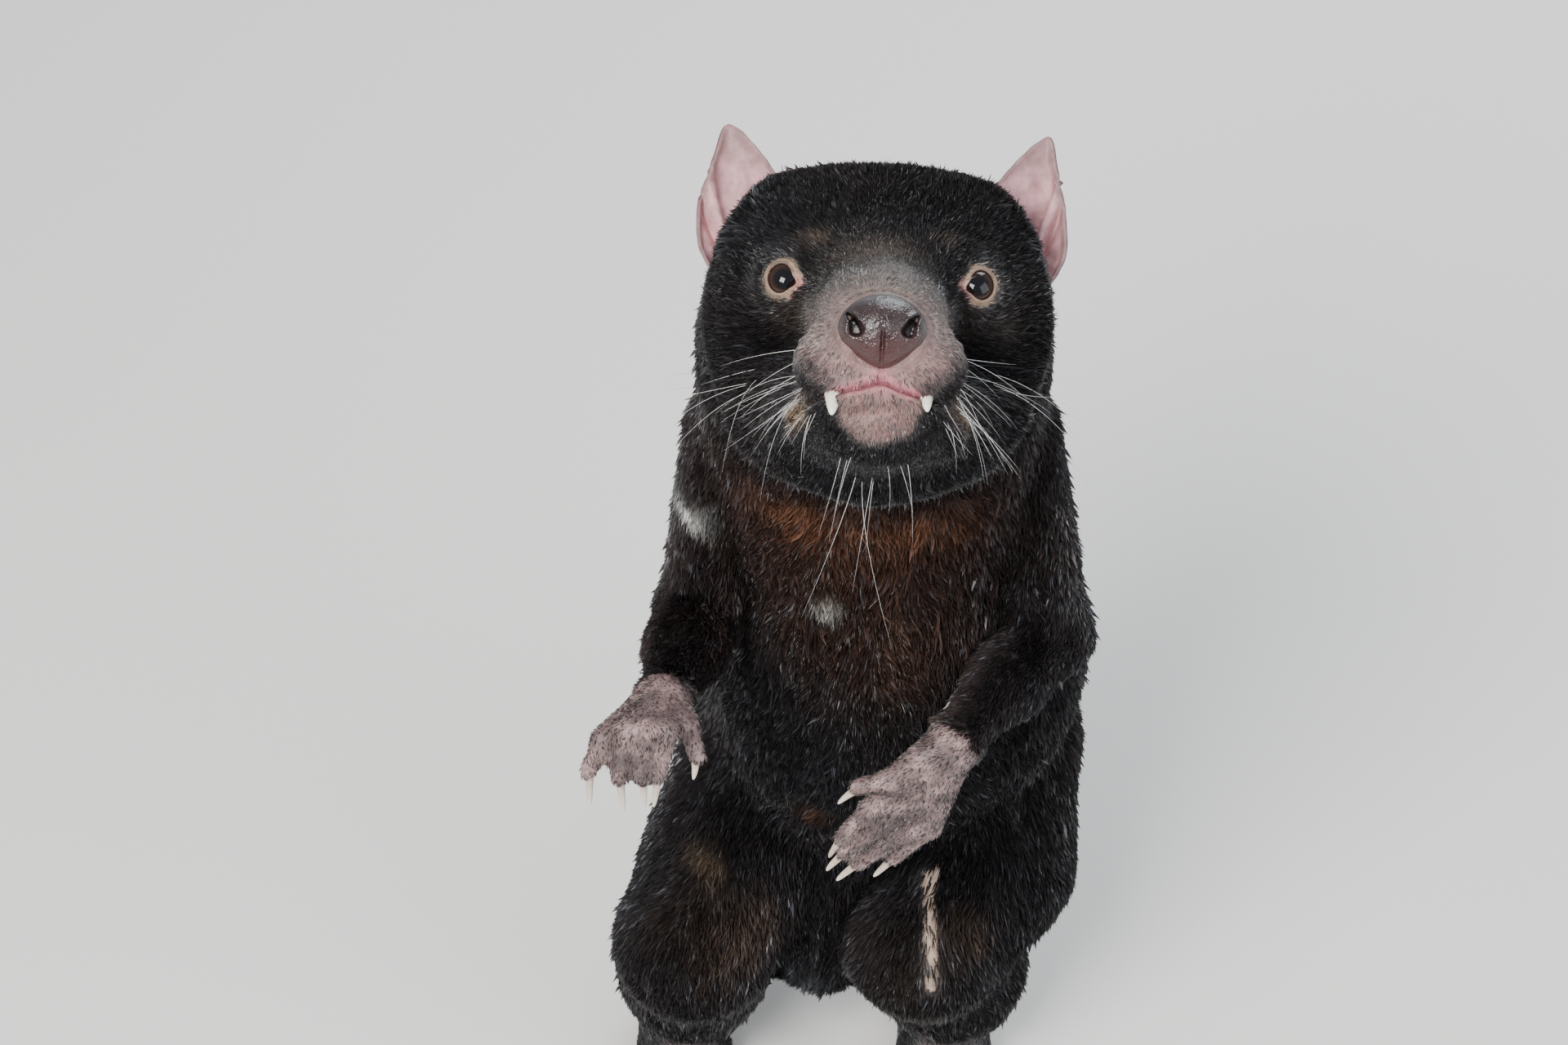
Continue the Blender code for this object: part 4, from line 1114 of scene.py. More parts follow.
        sink += 7.0 * (1.0 - smooth_step((pad + 3.5) / 2.0)) * (y > 44.0)
        return points + normals * (change - sink)[:, None]


@dataclass(frozen=True)
class Island:
    """A part of the coat that has its own pieces and its own unwrap round an axis."""

    name: str
    parts: tuple[Part, ...]
    pieces: int
    tufts: int
    start: tuple[float, float, float]
    end: tuple[float, float, float]


@dataclass
class Coat:
    """The fur: thin solid tufts that lie along the body and overlap."""

    skin: Skin
    head: HeadFrame
    markings: Markings
    quality: float = 1.0
    patch: float = 0.003

    STRAYS = 0.03
    # Painted highlight: this share of the tufts is lightened bluish grey as glints of sheen
    PAINTED_GLINT_SHARE = 0.10
    PAINTED_GLINT_COLOUR = (0.040, 0.047, 0.060)
    HAND_HAIR_DARK = (0.030, 0.025, 0.025)
    HAND_HAIR_PALE = (0.17, 0.125, 0.12)
    FACE_HAIR_LENGTH = 2.5
    FACE_HAIR_WIDTH = 0.20
    LENGTHS = {Part.HEAD: 4.6, Part.NECK: 7.5, Part.TORSO: 8.0, Part.UPPER_ARM_R: 7.0,
               Part.UPPER_ARM_L: 7.0, Part.FOREARM_R: 5.5, Part.FOREARM_L: 5.5, Part.HAND_R: 2.2,
               Part.HAND_L: 2.2, Part.THIGH_R: 8.0, Part.THIGH_L: 8.0, Part.SHANK_R: 7.5,
               Part.SHANK_L: 7.5, Part.FOOT_R: 4.0, Part.FOOT_L: 4.0, Part.TAIL_BASE: 9.0,
               Part.TAIL_END: 8.0}
    WIDTHS = {Part.HEAD: 0.34, Part.NECK: 0.46, Part.TORSO: 0.48, Part.UPPER_ARM_R: 0.44,
              Part.UPPER_ARM_L: 0.44, Part.FOREARM_R: 0.40, Part.FOREARM_L: 0.40, Part.HAND_R: 0.20,
              Part.HAND_L: 0.20, Part.THIGH_R: 0.50, Part.THIGH_L: 0.50, Part.SHANK_R: 0.46,
              Part.SHANK_L: 0.46, Part.FOOT_R: 0.34, Part.FOOT_L: 0.34, Part.TAIL_BASE: 0.52,
              Part.TAIL_END: 0.50}
    FACES = np.array([[0, 1, 2], [0, 2, 3], [1, 3, 2], [0, 3, 1]])

    def islands(self) -> list[Island]:
        """The parts of the coat, with how many tufts each has."""
        made = [Island("coat_head", (Part.HEAD,), 3, 120000,
                       tuple(self.head.world((0, -70, -20))), tuple(self.head.world((0, 60, -30)))),
                Island("coat_trunk", (Part.NECK, Part.TORSO), 3, 125000,
                       (0.0, -45.0, 60.0), (0.0, -60.0, 450.0))]
        for letter, _ in SIDES:
            made.append(Island("coat_arm_" + letter, tuple(Part[n + letter.upper()] for n in
                                                           ("UPPER_ARM_", "FOREARM_", "HAND_")),
                               1, 27000, tuple(centre_of("upper_arm_" + letter)),
                               tuple(centre_of("hand_" + letter))))
            made.append(Island("coat_leg_" + letter, tuple(Part[n + letter.upper()] for n in
                                                           ("THIGH_", "SHANK_", "FOOT_")),
                               1, 36000, tuple(centre_of("thigh_" + letter)),
                               tuple(centre_of("hind_foot_" + letter))))
        made.append(Island("coat_tail", (Part.TAIL_BASE, Part.TAIL_END), 1, 27000,
                           tuple(centre_of("tail_base")), tuple(centre_of("tail_end"))))
        return made

    def build(self) -> list[bpy.types.Object]:
        """Grow every part of the coat."""
        mesh = self.skin.mesh
        mesh.calc_loop_triangles()
        corners = np.empty(len(mesh.loop_triangles) * 3, np.int32)
        mesh.loop_triangles.foreach_get("vertices", corners)
        self.corners = corners.reshape(-1, 3)
        self.points = points_in(mesh)
        self.normals = normals_in(mesh)
        a, b, c = (self.points[self.corners[:, k]] for k in range(3))
        self.areas = 0.5 * np.linalg.norm(np.cross(b - a, c - a), axis=1)
        self.lengths = self.spread_over([self.LENGTHS[part] for part in PARTS])
        self.widths = self.spread_over([self.WIDTHS[part] for part in PARTS])
        self.thickness = self.density()
        finish = FurFinish("fur").material()
        made = []
        for number, island in enumerate(self.islands()):
            draw = np.random.default_rng(SEED + number)
            count = int(island.tufts * self.quality)
            roots = self.choose_roots(island, count, draw)
            for index in range(island.pieces):
                name = island.name if island.pieces == 1 else f"{island.name}_{index + 1}"
                chosen = tuple(part[index::island.pieces] for part in roots)
                made.append(self.grow(name, island, chosen, draw, finish))
        return made

    def spread_over(self, by_part: list[float]) -> np.ndarray:
        """A size of each part, eased over the borders between parts."""
        return Net(self.skin.mesh).even(np.array(by_part)[self.skin.parts], 10)

    def density(self) -> np.ndarray:
        """How thickly the tufts stand at each point, 1 in the full coat."""
        points = self.points
        bare = np.maximum(self.markings.face_share(points), self.markings.strip_share(points))
        lids = self.markings.lid_share(points)
        local = self.head.local(points)
        thick = 1.0 - 0.45 * bare
        thick = thick * (1.0 - 0.9 * self.markings.strip_share(points))
        thick = thick * (1.0 - 0.93 * lids)
        on_head = self.skin.parts == PARTS.index(Part.HEAD)
        thick = np.where(on_head, thick * (0.8 + 0.7 * smooth_step((local[:, 1] + 20.0) / 40.0)), thick)
        thick = thick * (1.0 - 0.55 * self.skin.hand_share)
        pad = np.hypot(local[:, 0] / 16.5, (local[:, 2] + 27.5) / 13.8)
        thick = thick * ~((pad < 1.02) & (local[:, 1] > 44.0))
        lips = (np.abs(self.skin.mouth.above(local)) < 1.8) & (local[:, 1] > 20.0)
        lips &= np.abs(self.skin.mouth.share(local)) < 0.95
        thick = thick * np.where(lips, 0.05, 1.0)
        for eye in self.markings.eyes:
            thick = thick * (eye.oval(eye.local(points)) > 1.14)
        low = (points[:, 2] < 1.5) & (self.skin.hand_share > 0.3)
        return thick * ~low

    def choose_roots(self, island: Island, count: int, draw: np.random.Generator) -> tuple[np.ndarray, ...]:
        """Draw the places of the tufts on one part.

        Args:
            island: the part of the coat.
            count: how many tufts.
            draw: the seeded source of chance.

        Returns:
            The triangle of each tuft and its place in it.
        """
        members = np.isin(self.skin.parts, [PARTS.index(part) for part in island.parts])
        here = members[self.corners].sum(axis=1) >= 2
        weight = self.areas * self.thickness[self.corners].mean(axis=1) * here
        chance = np.cumsum(weight)
        chosen = np.searchsorted(chance, draw.uniform(0.0, chance[-1], count))
        u = draw.uniform(0.0, 1.0, count)
        v = draw.uniform(0.0, 1.0, count)
        over = u + v > 1.0
        u, v = np.where(over, 1.0 - u, u), np.where(over, 1.0 - v, v)
        return chosen, u, v

    def at(self, values: np.ndarray, chosen: np.ndarray, u: np.ndarray, v: np.ndarray) -> np.ndarray:
        """Values of the skin's points at places inside its triangles."""
        a, b, c = (values[self.corners[chosen, k]] for k in range(3))
        if values.ndim > 1:
            u, v = u[:, None], v[:, None]
        return a + (b - a) * u + (c - a) * v

    def grow(self, name: str, island: Island, roots: tuple[np.ndarray, ...],
             draw: np.random.Generator, finish: bpy.types.Material) -> bpy.types.Object:
        """Grow one piece of the coat: for each root a closed, bent, tapered tuft of four faces."""
        chosen, u, v = roots
        count = len(chosen)
        root = self.at(self.points, chosen, u, v)
        normal = unit(self.at(self.normals, chosen, u, v))
        flow = self.at(self.skin.flow, chosen, u, v)
        depth = np.maximum(self.at(self.skin.depth, chosen, u, v), 0.25)
        length = self.at(self.lengths, chosen, u, v)
        width = self.at(self.widths, chosen, u, v)
        face = self.markings.face_share(root)
        lids = self.markings.lid_share(root)
        bare = np.maximum(face, lids)
        local = self.head.local(root)
        ahead = smooth_step((local[:, 1] + 15.0) / 50.0) * (local[:, 1] > -40.0)
        if island.name == "coat_head":
            length = length * (1.0 - 0.45 * ahead)
            cheek = smooth_step((np.abs(local[:, 0]) - 36.0) / 14.0)
            length = length * (1.0 + 0.35 * cheek)
            ear = np.hypot(np.abs(local[:, 0]) - 47.0, local[:, 2] - 22.0)
            fringe = np.exp(-((ear - 2.0) / 9.0) ** 2) * (local[:, 1] < -18.0) * (local[:, 1] > -45.0)
            length = length * (1.0 + 0.8 * fringe)
            depth = depth + 0.6 * fringe
        length = length * (1.0 - bare) + self.FACE_HAIR_LENGTH * bare
        width = width * (1.0 - bare) + self.FACE_HAIR_WIDTH * bare
        length = length * draw.uniform(0.72, 1.28, count)
        width = width * draw.uniform(0.75, 1.3, count)
        height = depth * draw.uniform(0.55, 1.0, count)
        stray = draw.uniform(size=count) < self.STRAYS
        height = height + stray * (1.0 - bare) * draw.uniform(0.3, 1.0, count) * np.minimum(depth, 2.4)

        swirl = 0.30 * ripple(root, 34.0, 31) + 0.22 * ripple(root, 9.0, 32) + draw.normal(0.0, 0.16, count)
        flow = unit(flow - normal * (flow * normal).sum(axis=1)[:, None])
        across = np.cross(normal, flow)
        way = unit(flow * np.cos(swirl)[:, None] + across * np.sin(swirl)[:, None])
        side = np.cross(normal, way)
        base = root - normal * np.minimum(0.5, 0.4 * depth)[:, None]
        half = side * (0.5 * width)[:, None]
        ridge = root + way * (length * draw.uniform(0.36, 0.50, count))[:, None] \
            + normal * (height * draw.uniform(0.62, 0.80, count))[:, None] \
            + side * draw.normal(0.0, 0.10, count)[:, None]
        tip = root + way * (length * 0.98)[:, None] + normal * height[:, None] \
            + side * (draw.normal(0.0, 0.07, count) * length)[:, None]
        points = np.stack([base + half, base - half, ridge, tip], axis=1)
        points[..., 2] = np.maximum(points[..., 2], 0.15)

        colour = self.markings.coat_colour(root)
        colour = colour * draw.lognormal(0.0, 0.20, count)[:, None]
        # Painted highlight: some tufts get a bluish-grey glint added to their colour
        painted_glint = (draw.uniform(size=count) < self.PAINTED_GLINT_SHARE)[:, None] * np.array(self.PAINTED_GLINT_COLOUR)
        colour = colour + painted_glint * draw.uniform(0.3, 1.0, count)[:, None]
        pale = self.markings.skin_colour(root, np.zeros(count)) * 0.85 + 0.07
        dark = draw.uniform(size=count) < 0.35
        pale = np.where(dark[:, None], 0.05, pale)
        colour = colour + (pale - colour) * smooth_step(bare * 1.3)[:, None]
        hand = self.at(self.skin.hand_share, chosen, u, v)
        patchy = smooth_step(0.5 + 0.9 * ripple(root, 13.0, 8))
        hand_hair = np.where((draw.uniform(size=count) < 0.35 + 0.5 * patchy)[:, None],
                             self.HAND_HAIR_DARK, self.HAND_HAIR_PALE)
        colour = colour + (hand_hair - colour) * hand[:, None]
        # Painted shade and highlight: each tuft is darker at its root and lighter at its tip
        root_shade_tip_light = np.stack([colour * 0.72, colour * 0.72, colour, colour * 1.25], axis=1)

        faces = (np.arange(count)[:, None, None] * 4 + self.FACES[None]).reshape(-1, 3)
        mesh = mesh_from_arrays(name, points.reshape(-1, 3), faces)
        set_colour(mesh, root_shade_tip_light.reshape(-1, 3))
        self.unwrap(mesh, island, root)
        mesh.shade_flat()
        return piece_of(name, mesh, finish)

    def unwrap(self, mesh: bpy.types.Mesh, island: Island, root: np.ndarray) -> None:
        """Give each tuft a small patch at its root's place on the skin's unwrap round an axis."""
        start, end = np.array(island.start), np.array(island.end)
        axis = unit(end - start)
        aside = unit(np.cross(axis, [0.3, 1.0, 0.2]))
        other = np.cross(axis, aside)
        far = root - start
        along = far @ axis
        turn = np.arctan2(far @ other, far @ aside) / (2.0 * math.pi) + 0.5
        rise = (along - along.min()) / max(np.ptp(along), 1e-6)
        room = 1.0 - 2.0 * self.patch
        place = np.stack([turn, rise], axis=1) * room + self.patch
        shape = np.array([[-0.5, -0.5], [0.5, -0.5], [0.0, 0.0], [0.0, 0.5]]) * self.patch
        corners = place[:, None, :] + shape[None]
        loops = corners[:, self.FACES.reshape(-1), :]
        layer = mesh.uv_layers.new(name="OFBake")
        layer.data.foreach_set("uv", loops.astype(np.float32).ravel())


@dataclass
class Eyes:
    """Two wet eyeballs with a bulging cornea."""

    places: list[EyePlace]
    cornea: float = 5.6
    bulge: float = 0.55
    look_turn: float = 9.0

    def build(self) -> list[bpy.types.Object]:
        """Make both eyes in place of their solids."""
        finish = EyeFinish().material()
        return [self.ball(place, letter, finish) for place, (letter, _) in zip(self.places, SIDES)]

    def ball(self, place: EyePlace, letter: str, finish: bpy.types.Material) -> bpy.types.Object:
        """One eyeball."""
        turn = math.radians(self.look_turn)
        look = place.head.turn((place.side * math.sin(turn), math.cos(turn), -0.06))
        look = unit(look)
        bm = bmesh.new()
        up = Vector(look).to_track_quat("Z", "Y").to_matrix().to_4x4()
        matrix = Matrix.Translation(Vector(place.centre * MM)) @ up
        bmesh.ops.create_uvsphere(bm, u_segments=64, v_segments=48, radius=place.radius * MM, matrix=matrix)
        mesh = bpy.data.meshes.new("eyeball_" + letter)
        bm.to_mesh(mesh)
        bm.free()
        points = points_in(mesh)
        out = unit(points - place.centre)
        facing = out @ look
        lateral = place.radius * np.sqrt(np.maximum(1.0 - facing ** 2, 0.0))
        lateral = np.where(facing > 0.0, lateral, place.radius)
        swell = self.bulge * np.maximum(1.0 - (lateral / self.cornea) ** 2, 0.0)
        put_points(mesh, points + out * swell[:, None])
        set_values(mesh, "from_look", lateral / place.radius)
        mesh.shade_smooth()
        return piece_of("eyeball_" + letter, mesh, finish, ("eye_" + letter,))


@dataclass
class Nose:
    """The nose pad: a broad bare bulb with winged, comma-shaped nostrils and a cleft."""

    head: HeadFrame
    centre: tuple[float, float, float] = (0.0, 56.0, -27.0)
    radii: tuple[float, float, float] = (15.2, 10.0, 12.6)

    DARK = (0.020, 0.009, 0.010)
    RED = (0.058, 0.018, 0.018)
    PAINTED_REFLECTION_GREY = (0.050, 0.048, 0.054)
    NOSTRIL = ((8.6, -28.4), (9.6, -25.6), (11.9, -22.6))
    WING = ((12.6, -22.0), (14.2, -25.5), (13.6, -30.0), (10.6, -33.2))

    def build(self) -> bpy.types.Object:
        """Make the pad in place of its solid."""
        centre = np.array(self.centre)
        bm = bmesh.new()
        bmesh.ops.create_icosphere(bm, subdivisions=6, radius=1.0)
        mesh = bpy.data.meshes.new("nose_pad")
        bm.to_mesh(mesh)
        bm.free()
        way = unit(points_in(mesh))
        reach = 1.0 / np.sqrt(((way / np.array(self.radii)) ** 2).sum(axis=1))
        local = centre + way * reach[:, None]
        local = self.shape(local)
        put_points(mesh, self.head.world(local))
        set_colour(mesh, self.colour(local))
        bm = bmesh.new()
        bm.from_mesh(mesh)
        bmesh.ops.recalc_face_normals(bm, faces=bm.faces)
        bm.to_mesh(mesh)
        bm.free()
        mesh.shade_smooth()
        return piece_of("nose_pad", mesh, NoseFinish().material(), ("nose",))

    @staticmethod
    def from_path(x: np.ndarray, z: np.ndarray,
                  path: tuple[tuple[float, float], ...]) -> tuple[np.ndarray, np.ndarray]:
        """How far places lie from a bent line, and how far along it the nearest point is.

        Args:
            x: places across the pad.
            z: places up the pad.
            path: the line's points.

        Returns:
            The distance and the share of the line's length.
        """
        best = np.full(len(x), 1e9)
        share = np.zeros(len(x))
        steps = len(path) - 1
        for index, (start, end) in enumerate(zip(path, path[1:])):
            start, end = np.array(start), np.array(end)
            along = end - start
            t = np.clip(((x - start[0]) * along[0] + (z - start[1]) * along[1]) / (along @ along), 0.0, 1.0)
            far = np.hypot(x - start[0] - t * along[0], z - start[1] - t * along[1])
            nearer = far < best
            share = np.where(nearer, (index + t) / steps, share)
            best = np.minimum(best, far)
        return best, share

    def shape(self, local: np.ndarray) -> np.ndarray:
        """Narrow the pad below, swell its wings, and press in the nostrils and the cleft."""
        local = local.copy()
        x, y, z = local.T
        aside = np.abs(x)
        front = smooth_step((y - 56.0) / 5.0)
        low = smooth_step((-z - 31.0) / 8.0)
        local[:, 0] *= 1.0 - 0.22 * low
        local[:, 2] -= 0.6 * low * np.exp(-(x / 4.0) ** 2)
        wing = np.exp(-(((aside - 12.4) / 3.6) ** 2 + ((z + 28.5) / 5.2) ** 2))
        local[:, 1] += 1.3 * wing * front
        local[:, 0] += np.sign(x) * 1.0 * wing
        dome = np.exp(-((x / 8.0) ** 2 + ((z + 23.5) / 6.0) ** 2))
        local[:, 1] += 1.2 * dome * front
        far, share = self.from_path(aside, z, self.NOSTRIL)
        hole = 2.5 * (1.0 - 0.72 * share)
        local[:, 1] -= 4.0 * (1.0 - smooth_step((far - 0.35 * hole) / (0.75 * hole))) * front
        rim = np.exp(-((far - 1.35 * hole) / 0.9) ** 2) * front
        local[:, 1] += 0.55 * rim * (aside > 8.0)
        far, share = self.from_path(aside, z, self.WING)
        local[:, 1] -= 0.8 * np.exp(-(far / 0.7) ** 2) * front * (1.0 - share)
        cleft = np.exp(-(x / 0.75) ** 2) * smooth_step((-z - 27.0) / 3.0)
        local[:, 1] -= 1.5 * cleft * front
        local[:, 1] -= 0.5 * np.exp(-(x / 2.6) ** 2) * smooth_step((-z - 28.0) / 5.0) * front
        local[:, 1] += 0.12 * ripple(local, 2.6, 41) * front
        return local

    def colour(self, local: np.ndarray) -> np.ndarray:
        """Near black above and reddish brown below, with a painted bluish-grey reflection along the top edge
        and nostrils darkened nearly to black by painted shade.
        """
        x, y, z = local.T
        colour = np.tile(np.array(self.DARK), (len(local), 1))
        low = smooth_step((-z - 25.0) / 12.0)[:, None]
        colour += (np.array(self.RED) - colour) * 0.75 * low
        # Painted reflection: the top edge of the pad is lightened bluish grey
        reflection_band = smooth_step((z + 21.0) / 5.0)[:, None]
        colour += (np.array(self.PAINTED_REFLECTION_GREY) - colour) * reflection_band
        # Painted shade: the nostril holes are darkened nearly to black
        far, _ = self.from_path(np.abs(x), z, self.NOSTRIL)
        hole = (1.0 - smooth_step((far - 0.4) / 1.6))[:, None]
        return colour * (1.0 - 0.93 * hole * (y > 54.0)[:, None])


@dataclass
class Ears:
    """Two thin cupped ears with a fold across them."""

    head: HeadFrame
    across: int = 30
    along: int = 64
    cup: float = 8.0

    ROOT = ((40, -40, 37), (44, -39, 30), (48, -37, 20), (52, -35, 11), (55, -33, 4))
    EDGE = {"r": ((38, -43, 46), (47, -48, 58), (58.5, -51, 68), (63.5, -49, 54), (68, -45, 36),
                  (67, -40, 19), (60, -33, 6)),
            "l": ((42, -43, 46), (51, -48, 57), (62.5, -51, 67), (66, -49, 53), (68.5, -45, 38),
                  (69, -40, 20), (62, -33, 6))}
    BACK = (0.25, -1.0, -0.15)
    PINK = (0.62, 0.34, 0.36)
    RIM = (0.20, 0.12, 0.115)
    BACK_HAIR = (0.030, 0.022, 0.020)

    def build(self) -> list[bpy.types.Object]:
        """Make both ears in place of their solids."""
        finish = EarFinish().material()
        return [self.ear(letter, side, finish) for letter, side in SIDES]

    @staticmethod
    def curve(points: tuple[tuple[float, ...], ...], count: int) -> np.ndarray:
        """Even steps along a smooth curve through a few points."""
        line = np.array(points, dtype=float)
        ends = np.vstack([2 * line[0] - line[1], line, 2 * line[-1] - line[-2]])
        t = np.linspace(0.0, len(line) - 1.0, count)
        i = np.minimum(t.astype(int), len(line) - 2)
        f = (t - i)[:, None]
        p0, p1, p2, p3 = (ends[i + k] for k in range(4))
        return 0.5 * (2 * p1 + (p2 - p0) * f + (2 * p0 - 5 * p1 + 4 * p2 - p3) * f * f
                      + (3 * p1 - p0 - 3 * p2 + p3) * f ** 3)

    def sheet(self, letter: str, u: np.ndarray, v: np.ndarray) -> np.ndarray:
        """The front of the ear in the head's frame: u from root to edge, v down the edge."""
        count = 400
        roots, edges = self.curve(self.ROOT, count), self.curve(self.EDGE[letter], count)
        step = np.clip((v * (count - 1)).astype(int), 0, count - 1)
        root, edge = roots[step], edges[step]
        sunk = root + (root - edge) * 0.12 + unit(root - edge) * 5.0
        deep = np.sin(math.pi * np.clip(v, 0.0, 1.0)) ** 0.7
        point = sunk + (edge - sunk) * u[:, None]
        push = self.cup * deep * 4.0 * u * (1.0 - u) * (1.15 - 0.5 * u)
        fold = np.exp(-((v - 0.56 - 0.16 * (1.0 - u)) / 0.035) ** 2) * smooth_step((u - 0.25) / 0.3)
        pocket = np.exp(-((v - 0.63 - 0.16 * (1.0 - u)) / 0.045) ** 2) * smooth_step((u - 0.3) / 0.3)
        ridge = np.exp(-((v - 0.30) / 0.05) ** 2) * np.exp(-((u - 0.55) / 0.25) ** 2)
        push = push - 4.4 * fold + 3.0 * pocket - 1.2 * ridge
        push = push + 0.7 * ripple(point, 9.0, 51) * u
        roll = 1.6 * smooth_step((u - 0.88) / 0.12) * deep
        return point + unit(np.array(self.BACK)) * (push - roll)[:, None]

    def ear(self, letter: str, side: float, finish: bpy.types.Material) -> bpy.types.Object:
        """One ear: a grid laid on the cup, given its thickness and its colour."""
        bm = bmesh.new()
        bmesh.ops.create_grid(bm, x_segments=self.across, y_segments=self.along, size=0.5)
        mesh = bpy.data.meshes.new("ear_cup_" + letter)
        bm.to_mesh(mesh)
        bm.free()
        flat = points_in(mesh) * MM
        u, v = flat[:, 0] + 0.5, flat[:, 1] + 0.5
        local = self.sheet(letter, u, v) * np.array([side, 1.0, 1.0])
        put_points(mesh, self.head.world(local))
        set_values(mesh, "out", u)
        set_values(mesh, "down", v)
        obj = bpy.data.objects.new("ear_blank", mesh)
        bpy.context.scene.collection.objects.link(obj)
        wall = obj.modifiers.new("wall", "SOLIDIFY")
        wall.thickness = 1.3 * MM
        wall.offset = 0.0
        wall.use_even_offset = True
        made = applied(obj)
        made.name = "ear_cup_" + letter
        bm = bmesh.new()
        bm.from_mesh(made)
        bmesh.ops.recalc_face_normals(bm, faces=bm.faces)
        bm.to_mesh(made)
        bm.free()
        self.paint(made, side)
        made.shade_smooth()
        return piece_of("ear_cup_" + letter, made, finish, ("ear_" + letter,))

    def paint(self, mesh: bpy.types.Mesh, side: float) -> None:
        """Pink inside, dusky along the rim and dark on the back."""
        values = {}
        for name in ("out", "down"):
            flat = np.empty(len(mesh.vertices), np.float32)
            mesh.attributes[name].data.foreach_get("value", flat)
            values[name] = flat.astype(float)
        u = values["out"]
        local = self.head.local(points_in(mesh))
        back = self.head.turn(unit(np.array(self.BACK) * np.array([side, 1.0, 1.0])))
        behind = smooth_step(normals_in(mesh) @ back * 1.5 + 0.2)
        colour = np.tile(np.array(self.PINK), (len(u), 1))
        colour *= (0.9 + 0.12 * ripple(local, 8.0, 61))[:, None]
        rim = smooth_step((u - 0.86) / 0.12)
        tip = smooth_step((local[:, 2] - 46.0) / 16.0) * 0.75
        dusk = np.maximum(rim * 0.75, tip)[:, None]
        colour += (np.array(self.RIM) - colour) * dusk
        base = (1.0 - smooth_step((u - 0.20) / 0.30))[:, None]
        colour += (np.array((0.16, 0.075, 0.07)) - colour) * 0.75 * base
        colour += (np.array(self.BACK_HAIR) - colour) * behind[:, None]
        set_colour(mesh, colour)


@dataclass
class Horns:
    """Claws and teeth, each smoothed from its solid and tinted from root to tip."""

    CLAW = HornFinish("claw_horn", (0.42, 0.30, 0.24), (0.74, 0.66, 0.54))
    TOOTH = HornFinish("tooth_enamel", (0.70, 0.60, 0.44), (0.88, 0.85, 0.78), 0.16)
    SWELL = 0.40

    def build(self) -> list[bpy.types.Object]:
        """Make one piece of claws for each hand and foot, and one for the teeth."""
        claw, tooth = self.CLAW.material(), self.TOOTH.material()
        made = []
        for letter, _ in SIDES:
            made.append(self.smoothed("hand_claws_" + letter, [f"claw_{letter}_{k}" for k in range(1, 6)],
                                      claw))
            made.append(self.smoothed("foot_claws_" + letter, [f"toe_claw_{letter}_{k}" for k in range(1, 5)],
                                      claw))
        made.append(self.smoothed("canines", ["tooth_r", "tooth_l"], tooth))
        return made

    def smoothed(self, name: str, nodes: list[str], finish: bpy.types.Material) -> bpy.types.Object:
        """Several solids as one piece, rounded by subdivision."""
        whole = bmesh.new()
        spare = bpy.data.meshes.new("spare")
        for node in nodes:
            bm = bmesh.new()
            bm.from_mesh(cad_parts[node].data)
            bmesh.ops.remove_doubles(bm, verts=bm.verts, dist=1e-5)
            bm.normal_update()
            for vert in bm.verts:
                vert.co += vert.normal * self.SWELL * MM
            bm.to_mesh(spare)
            bm.free()
            whole.from_mesh(spare)
        mesh = bpy.data.meshes.new(name)
        whole.to_mesh(mesh)
        whole.free()
        obj = bpy.data.objects.new("horn_blank", mesh)
        bpy.context.scene.collection.objects.link(obj)
        rounder = obj.modifiers.new("rounder", "SUBSURF")
        rounder.levels = 2
        rounder.render_levels = 2
        made = applied(obj)
        made.name = name
        points = points_in(made)
        along = np.zeros(len(points))
        for node in nodes:
            corners = points_in(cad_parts[node].data)
            middle = corners.mean(axis=0)
            _, _, axes = np.linalg.svd(corners - middle, full_matrices=False)
            reach = (corners - middle) @ axes[0]
            low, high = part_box(node)
            inside = ((points > np.array(low) / MM - 0.6) & (points < np.array(high) / MM + 0.6)).all(axis=1)
            place = (points[inside] - middle) @ axes[0]
            place = (place - reach.min()) / np.ptp(reach)
            girth = np.linalg.norm((corners - middle) @ axes[1:].T, axis=1)
            half_way = np.median(reach)
            root_is_low = girth[reach < half_way].mean() > girth[reach > half_way].mean()
            along[inside] = place if root_is_low else 1.0 - place
        set_values(made, "along", np.clip(along, 0.0, 1.0))
        made.shade_smooth()
        return piece_of(name, made, finish, tuple(nodes))


@dataclass(frozen=True)
class Tuft:
    """A group of whiskers that grow from one place of the head and spread."""

    root: tuple[float, float, float]
    spread: tuple[float, float, float]
    way: tuple[float, float, float]
    count: int
    length: float
    droop: float
    white: float


